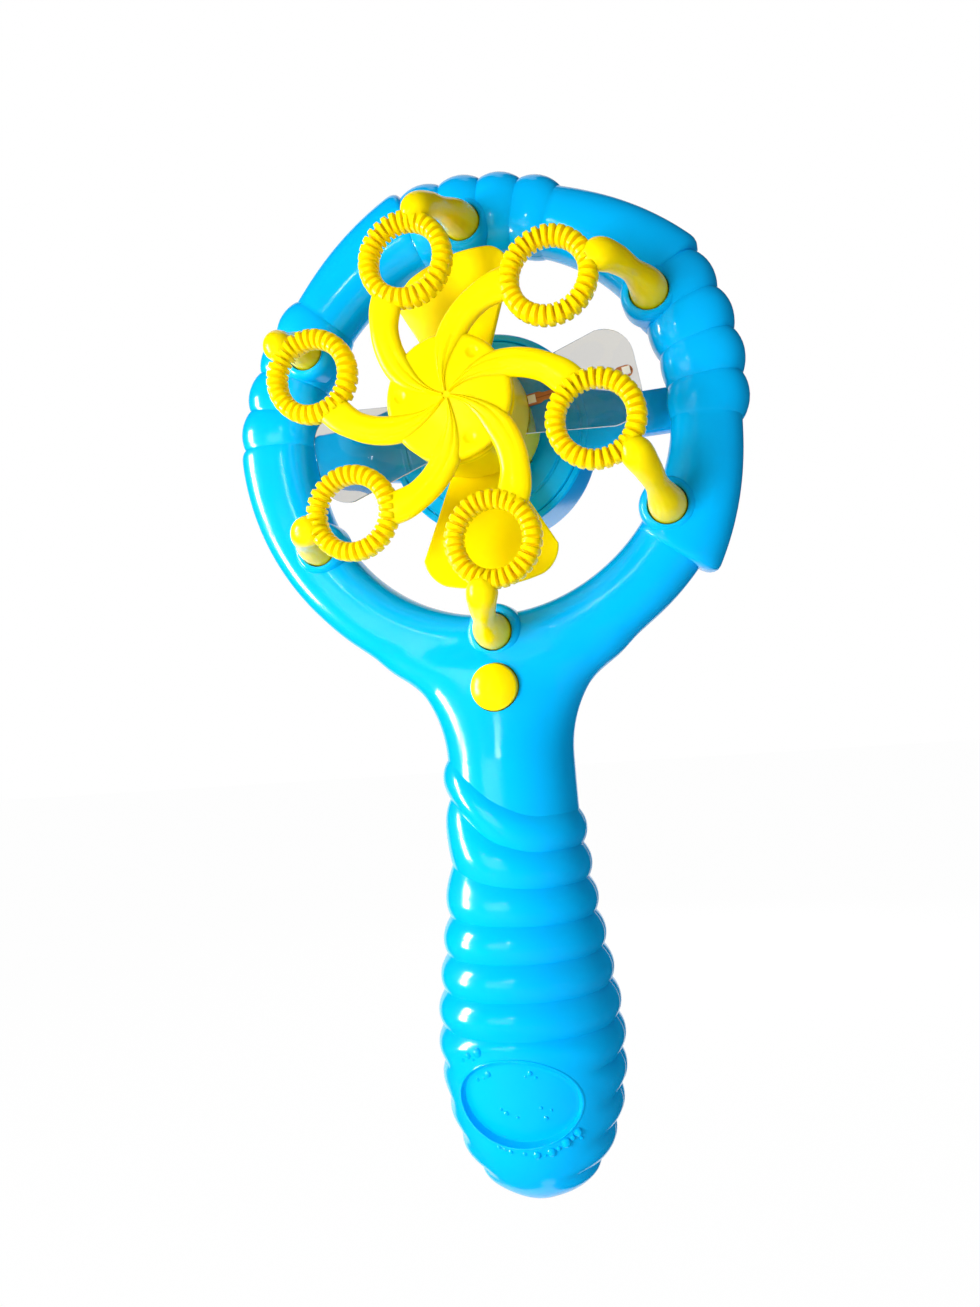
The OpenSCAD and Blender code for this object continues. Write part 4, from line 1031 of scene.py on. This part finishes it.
def post(bm, deg):
    """A round bar of changing girth along a curve, from a loop to its socket."""
    def spot(r, turn_back, y):
        x, z = on_clock(r, deg - turn_back)
        return Vector((x, y, z))

    path = [spot(48.0, 8.6, -37.6), spot(51.6, 5.9, -37.9), spot(55.0, 3.6, -32.5),
            spot(57.6, 1.7, -24.5), spot(59.4, 0.4, -16.5), spot(60, 0, -11.0), spot(60, 0, -4.5)]
    girth = [1.6, 4.1, 3.7, 3.2, 4.5, 5.25, 5.3]
    rows, sides = 72, 28
    last = len(path) - 1
    frames, side = [], Vector((0, 0, 1))
    for j in range(rows + 1):
        t = last * j / rows
        ahead = (along(path, min(last, t + 0.02)) - along(path, max(0, t - 0.02))).normalized()
        side = (side - ahead * side.dot(ahead)).normalized()
        frames.append((along(path, t), side, ahead.cross(side), along(girth, t)))

    def place(i, j):
        if j in (0, rows + 2):
            return frames[0 if j == 0 else rows][0]
        p, u, v, r = frames[j - 1]
        a = 2 * pi * i / sides
        return p + (u * cos(a) + v * sin(a)) * r

    bent_grid(bm, sides, rows + 2, place)


# %% The wheel
bm = bmesh.new()
disc(bm)
for k in range(6):
    arm(bm, 60 * k - LOOP_TURN)
    loop(bm, 60 * k - LOOP_TURN)
    post(bm, 60 * k)
close_up(bm)
piece("wand_wheel_skin", bm, lemon, "root", ["wand_wheel"], sharp=40)

# %% [markdown]
# ## Fan: drum and moulded blades
# The fan's drum is a cup that turns behind the disc. Two yellow blades are moulded with it and
# stand askew to push the air; two slots take the clear blades. The drum is turned, the slots are
# cut with a flat lens-shaped pin, and a blade is its outline, extruded and rounded over.

# %% Blade helper
def blade_outline(root_r, root_w, tip_r, tip_w, corner, bowed=False):
    """(across, radius) points of a blade that widens outwards and has a round-cornered tip.

    A bowed tip follows the circle that it sweeps.
    """
    flat = tip_w / 2 - corner
    left = [(corner * cos(t) - flat, tip_r - corner + corner * sin(t))
            for t in spaced(pi, pi / 2, 10)]
    middle = [(x, tip_r) for x in spaced(-flat, flat, 16)[1:-1]] if bowed else []
    tip = left + middle + [(-x, r) for x, r in reversed(left)]
    if bowed:
        tip = [(x, r - tip_r + sqrt(tip_r ** 2 - x * x)) for x, r in tip]
    return [(-root_w / 2, root_r)] + tip + [(root_w / 2, root_r)]


def slab(bm, outline, y, thick, rounding, segments, least=-1):
    """A plate of that outline from y backwards; rims longer across than least are rounded over."""
    own = set(bm.verts)
    face = bm.faces.new([bm.verts.new((x, y, z)) for x, z in outline])
    grown = bmesh.ops.extrude_face_region(bm, geom=[face])["geom"]
    move(bm, [g for g in grown if isinstance(g, bmesh.types.BMVert)], (0, thick, 0))
    made = [e for e in bm.edges if e.verts[0] not in own]
    reach = [e.verts[0].co - e.verts[1].co for e in made]
    rims = [e for e, d in zip(made, reach) if abs(d.y) < 1e-6 and abs(d.x) > least]
    bmesh.ops.bevel(bm, geom=rims, offset=rounding, affect="EDGES", segments=segments,
                    profile=0.5, material=-1)
    return [v for v in bm.verts if v not in own]


def blade(bm, outline, deg, y, pitch, thick, rounding, segments=3):
    """A flat blade of that outline, stood up at an angle, clockwise from the top."""
    made = slab(bm, outline, -thick / 2, thick, rounding, segments)
    bmesh.ops.rotate(bm, verts=made, cent=(0, 0, 0), matrix=turn("Y", deg) @ turn("Z", pitch))
    move(bm, made, (0, y, FAN_Z))
    bmesh.ops.recalc_face_normals(bm, faces=bm.faces)


# %% Drum and yellow blades
CLEAR_TURN, CLEAR_Y = 82.0, -16.0
BLADE_TURN, BLADE_Y, BLADE_PITCH = -4.0, -15, -16
drum = bmesh.new()
turned(drum, [(15.4, -32.5), (16.75, -32.5), (17.0, -32.2), (17.0, -1.8), (16.7, -1.5), (1.05, -1.5),
              (1.05, -3.5), (15.4, -3.5)], (0, FAN_Z), 128)
close_up(drum)
drum = as_object("fan_hub_skin", drum)
slots = bmesh.new()
for deg in (CLEAR_TURN, CLEAR_TURN + 180):
    own = set(slots.verts)
    bmesh.ops.create_cone(slots, cap_ends=True, segments=48, radius1=1, radius2=1, depth=14)
    lens_pin = [v for v in slots.verts if v not in own]
    bmesh.ops.scale(slots, verts=lens_pin, vec=(9.4, 1.25, 1))
    move(slots, lens_pin, (0, 0, 17))
    bmesh.ops.rotate(slots, verts=lens_pin, cent=(0, 0, 0), matrix=turn("Y", deg))
    move(slots, lens_pin, (0, CLEAR_Y - 0.1, FAN_Z))
cut(drum, slots)
bm = drawn_again(drum)
for deg in (BLADE_TURN, BLADE_TURN + 180):
    blade(bm, blade_outline(15.6, 16, 48.3, 38, 6, True), deg,
          BLADE_Y, BLADE_PITCH, 1.8, 0.6)
piece("fan_hub_skin", bm, lemon, "fan", ["fan_hub"])

bm = bmesh.new()
turned(bm, [(0, -34.5), (16.6, -34.5), (17.0, -34.1), (17.0, -32.7), (16.8, -32.5), (15.2, -32.5),
            (15.2, -29.5), (13.6, -29.5), (13.6, -32.5), (0, -32.5)], (0, FAN_Z), 128)
close_up(bm)
piece("hub_cap_skin", bm, lemon, "fan", ["hub_cap"])

# %% [markdown]
# ## Clear blades and the light strip
# The other two blades are thin clear sheet with a greyish cast. On the right one lies a flexible
# strip of copper-coloured film with three small white lamps. Clear sheet needs real thickness, so
# that its cut edge catches the light; the film's two tracks are a pattern along its length.

# %% Clear sheet
clear, _, glass, _ = dressed("clear_sheet", skin, {
    "Colour": (0.72, 0.71, 0.68, 1), "Flow": (0.64, 0.63, 0.61, 1), "Gloss": 0.03, "Handling": 0.05})
set_inputs(glass, {"Transmission Weight": 1.0, "IOR": 1.38})
bm = bmesh.new()
for deg in (CLEAR_TURN, CLEAR_TURN + 180):
    blade(bm, blade_outline(13.6, 17.0, 48.0, 27.4, 9), deg, CLEAR_Y, 0, 0.8, 0.12, 2)
piece("clear_blades_skin", bm, clear, "fan", ["clear_blades"])

# %% Light strip and lamps
film = moulded("copper_film", (0.62, 0.22, 0.07), (0.52, 0.17, 0.05), 0.3, 0.1)
tree = film.node_tree
lay = tree.nodes.new("ShaderNodeMapping")
lay.vector_type = "TEXTURE"
set_inputs(lay, {"Location": (0, CLEAR_Y * MM, FAN_Z * MM),
                 "Rotation": (0, radians(CLEAR_TURN), 0)})
parts = tree.nodes.new("ShaderNodeSeparateXYZ")
coords = next(n for n in tree.nodes if n.type == "TEX_COORD")
group = next(n for n in tree.nodes if n.type == "GROUP")
join(tree, (coords.outputs["Object"], lay.inputs["Vector"]), (lay.outputs["Vector"], parts.inputs[0]))
track = add_math(tree, "PINGPONG", parts.outputs["X"], 0.00085)
dark = add_math(tree, "LESS_THAN", track, 0.00016)
tone = mix_colours(tree, dark, group.outputs["Colour"], (0.33, 0.09, 0.03, 1))
tree.links.new(tone, tree.nodes["Principled BSDF"].inputs["Base Color"])
STRIP_Y = CLEAR_Y - 0.4 - 0.15
LAMPS = [45.04 - 13.4 * k for k in range(3)]
rise = [(1.15 + 0.55 * smooth_step((3.4 - min(abs(r - at) for at in LAMPS)) / 1.4), r)
        for r in spaced(13.4, 45.0, 80)]
tip = [(1.7 * cos(t), 45.1 + 1.7 * sin(t)) for t in spaced(pi, 0, 16)]
bm = bmesh.new()
blade(bm, [(-w, r) for w, r in rise] + tip + list(reversed(rise)), CLEAR_TURN, STRIP_Y, 0, 0.3, 0.06, 2)
piece("light_strip_skin", bm, film, "fan", ["light_strip"])

lamp_white = moulded("lamp_white", (0.93, 0.92, 0.86), (0.88, 0.87, 0.80), 0.2, 0.05)
bm = bmesh.new()
for r in LAMPS:
    blade(bm, [(-1.1, r - 1.1), (-1.1, r + 1.1), (1.1, r + 1.1), (1.1, r - 1.1)], CLEAR_TURN,
          STRIP_Y - 0.15 - 0.35, 0, 0.7, 0.14, 2)
piece("lamps_skin", bm, lamp_white, "fan", ["lamps"])

# %% [markdown]
# ## Button
# A low dome with a rounded rim and a flange behind the shell that keeps it in: one turned profile.

# %% Button
BUTTON_R, DOME_H = 6.65, 2.7
dome_r = (BUTTON_R ** 2 + DOME_H ** 2) / 2 / DOME_H
dome = [(dome_r * sin(t), -17.0 + dome_r * (1 - cos(t)))
        for t in spaced(0, asin(6.0 / dome_r), 14)]
rim = [(6.05 + 0.6 * sin(t), -14.35 - 0.62 * cos(t) + 0.25)
       for t in spaced(0.75, pi / 2, 5)]
bm = bmesh.new()
flange = [(BUTTON_R, -9.2), (8.15, -9.2), (8.15, -8.0), (2.0, -8.0), (2.0, -7.2), (0, -7.2)]
turned(bm, dome + rim + flange, (0, BUTTON_Z), 96)
close_up(bm)
piece("push_button_skin", bm, lemon, "button", ["push_button"])

# %% [markdown]
# ## Motor pod and its bar
# Behind the fan a round pod holds the motor on a bar across the ring. The pod is turned with a
# low lip round its front cover. The bar is a tapered plank with its edges rounded over.

# %% Pod and bar
def pod_arc(side, back):
    """The pod's rounded back edge, drawn in by so much from the side and the back."""
    return [(12 + 18.5 * cos(t) - side, 18 - back + 12 * sin(t))
            for t in spaced(0, pi / 2, 16)]


PLANK = ((23.0, -11.0), (33.0, -9.4), (45.5, -6.3), (60.7, -6.3),
         (60.7, 6.3), (45.5, 6.3), (33.0, 9.4), (23.0, 11.0))
lip = [(27.0, 4.0), (28.5, 4.0), (28.5, 2.3), (28.8, 2.0), (30.0, 2.0), (30.5, 2.5)]
bm = bmesh.new()
turned(bm, lip + pod_arc(0, 0) + [(0, 30)], (0, FAN_Z), 128)
hollow = [(0, 28.0)] + list(reversed(pod_arc(3.5, 2.0))) + [(27.0, 4.0)]
turned(bm, hollow, (0, FAN_Z), 128)
for s in (-1, 1):
    made = slab(bm, [(s * x, z) for x, z in PLANK], 2.2, 5.5, 1.1, 4, 1)
    move(bm, made, (0, 0, FAN_Z))
close_up(bm)
piece("motor_bridge_skin", bm, pool_blue, "root", ["motor_bridge"])

bm = bmesh.new()
turned(bm, [(3.0, 2.3), (3.3, 2.0), (22.6, 2.0), (22.9, 2.35), (23.4, 2.35), (23.7, 2.0), (27.9, 2.0),
            (28.3, 2.4), (28.3, 4.0), (10.5, 4.0), (10.5, 6.0), (8.0, 6.0), (8.0, 4.0), (3.0, 4.0)],
       (0, FAN_Z), 128)
close_up(bm)
piece("pod_cover_skin", bm, pool_blue, "root", ["pod_cover"])

# %% [markdown]
# ## Metals and small parts
# The motor, cells, contacts and leads keep the shape of their solids. Each gets a finish of its
# own: drawn and brushed metal has fine lines along one way, so a second group stretches a noise
# and turns it into tone and roughness. The button's spring gets a mesh of its own.

# %% Metal group
grain, came, goes = new_group(
    "drawn_grain",
    [("Vector", "Vector", None), ("Colour", "Color", (0.6, 0.6, 0.6, 1)),
     ("Shade", "Color", (0.4, 0.4, 0.4, 1)), ("Polish", "Float", 0.3)],
    [("Colour", "Color"), ("Roughness", "Float")])
stretch = grain.nodes.new("ShaderNodeMapping")
set_inputs(stretch, {"Scale": (1, 0.04, 1)})
grain.links.new(came["Vector"], stretch.inputs["Vector"])
lines = spread(grain, noise(grain, stretch.outputs["Vector"], 2600, 3.0))
join(grain, (mix_colours(grain, lines, came["Colour"], came["Shade"]), goes["Colour"]),
     (add_math(grain, "MULTIPLY_ADD", lines, 0.15, came["Polish"]), goes["Roughness"]))


def metal(name, colour, polish):
    """A metal with fine drawn lines."""
    shade = (*(0.72 * c for c in colour), 1)
    m, _, bsdf, _ = dressed(name, grain, {"Colour": (*colour, 1), "Shade": shade, "Polish": polish})
    set_inputs(bsdf, {"Metallic": 1.0})
    return m


print("group:", grain.name)

# %% Finishes of the inner parts
finishes = [
    (metal("can_steel", (0.62, 0.62, 0.64), 0.25), ["motor_can", "motor_shaft"]),
    (metal("screw_zinc", (0.66, 0.66, 0.68), 0.2), ["door_screw", "shell_screws"]),
    (metal("spring_wire", (0.74, 0.74, 0.76), 0.16), ["button_spring", "contact_springs", "contact_plates"]),
    (metal("contact_brass", (0.80, 0.58, 0.26), 0.25), ["slip_rings", "feed_brushes", "motor_terminals"]),
    (metal("bush_bronze", (0.55, 0.36, 0.18), 0.4), ["motor_bushes"]),
    (metal("winding_copper", (0.72, 0.32, 0.14), 0.3), ["motor_rotor"]),
    (moulded("ferrite", (0.10, 0.10, 0.11), (0.14, 0.14, 0.15), 0.6, 0.15, 0.3), ["motor_magnets"]),
    (moulded("white_nylon", (0.84, 0.83, 0.79), (0.78, 0.77, 0.73), 0.4, 0.1, 0.06), ["motor_bell"]),
    (moulded("board_green", (0.02, 0.20, 0.07), (0.03, 0.26, 0.09), 0.35, 0.1, 0.05),
     ["hub_board", "switch_board"]),
    (moulded("black_plastic", (0.02, 0.02, 0.022), (0.035, 0.035, 0.035), 0.4, 0.15, 0.15),
     ["switch_plunger", "push_switch", "cell_cradle"]),
    (moulded("cell_jacket", (0.05, 0.05, 0.055), (0.03, 0.03, 0.03), 0.2, 0.08),
     ["cell_1", "cell_2", "cell_3"]),
    (moulded("lead_red", (0.55, 0.02, 0.02), (0.48, 0.015, 0.015), 0.45, 0.1, 0.05),
     ["lead_red", "lead_cells"]),
    (moulded("lead_black", (0.02, 0.02, 0.02), (0.03, 0.03, 0.03), 0.45, 0.1, 0.05), ["lead_black"]),
]
for finish, nodes in finishes:
    for node in nodes:
        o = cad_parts[node]
        o.data.materials.clear()
        o.data.materials.append(finish)
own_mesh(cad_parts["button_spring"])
print("finished solids:", sum(len(nodes) for _, nodes in finishes))
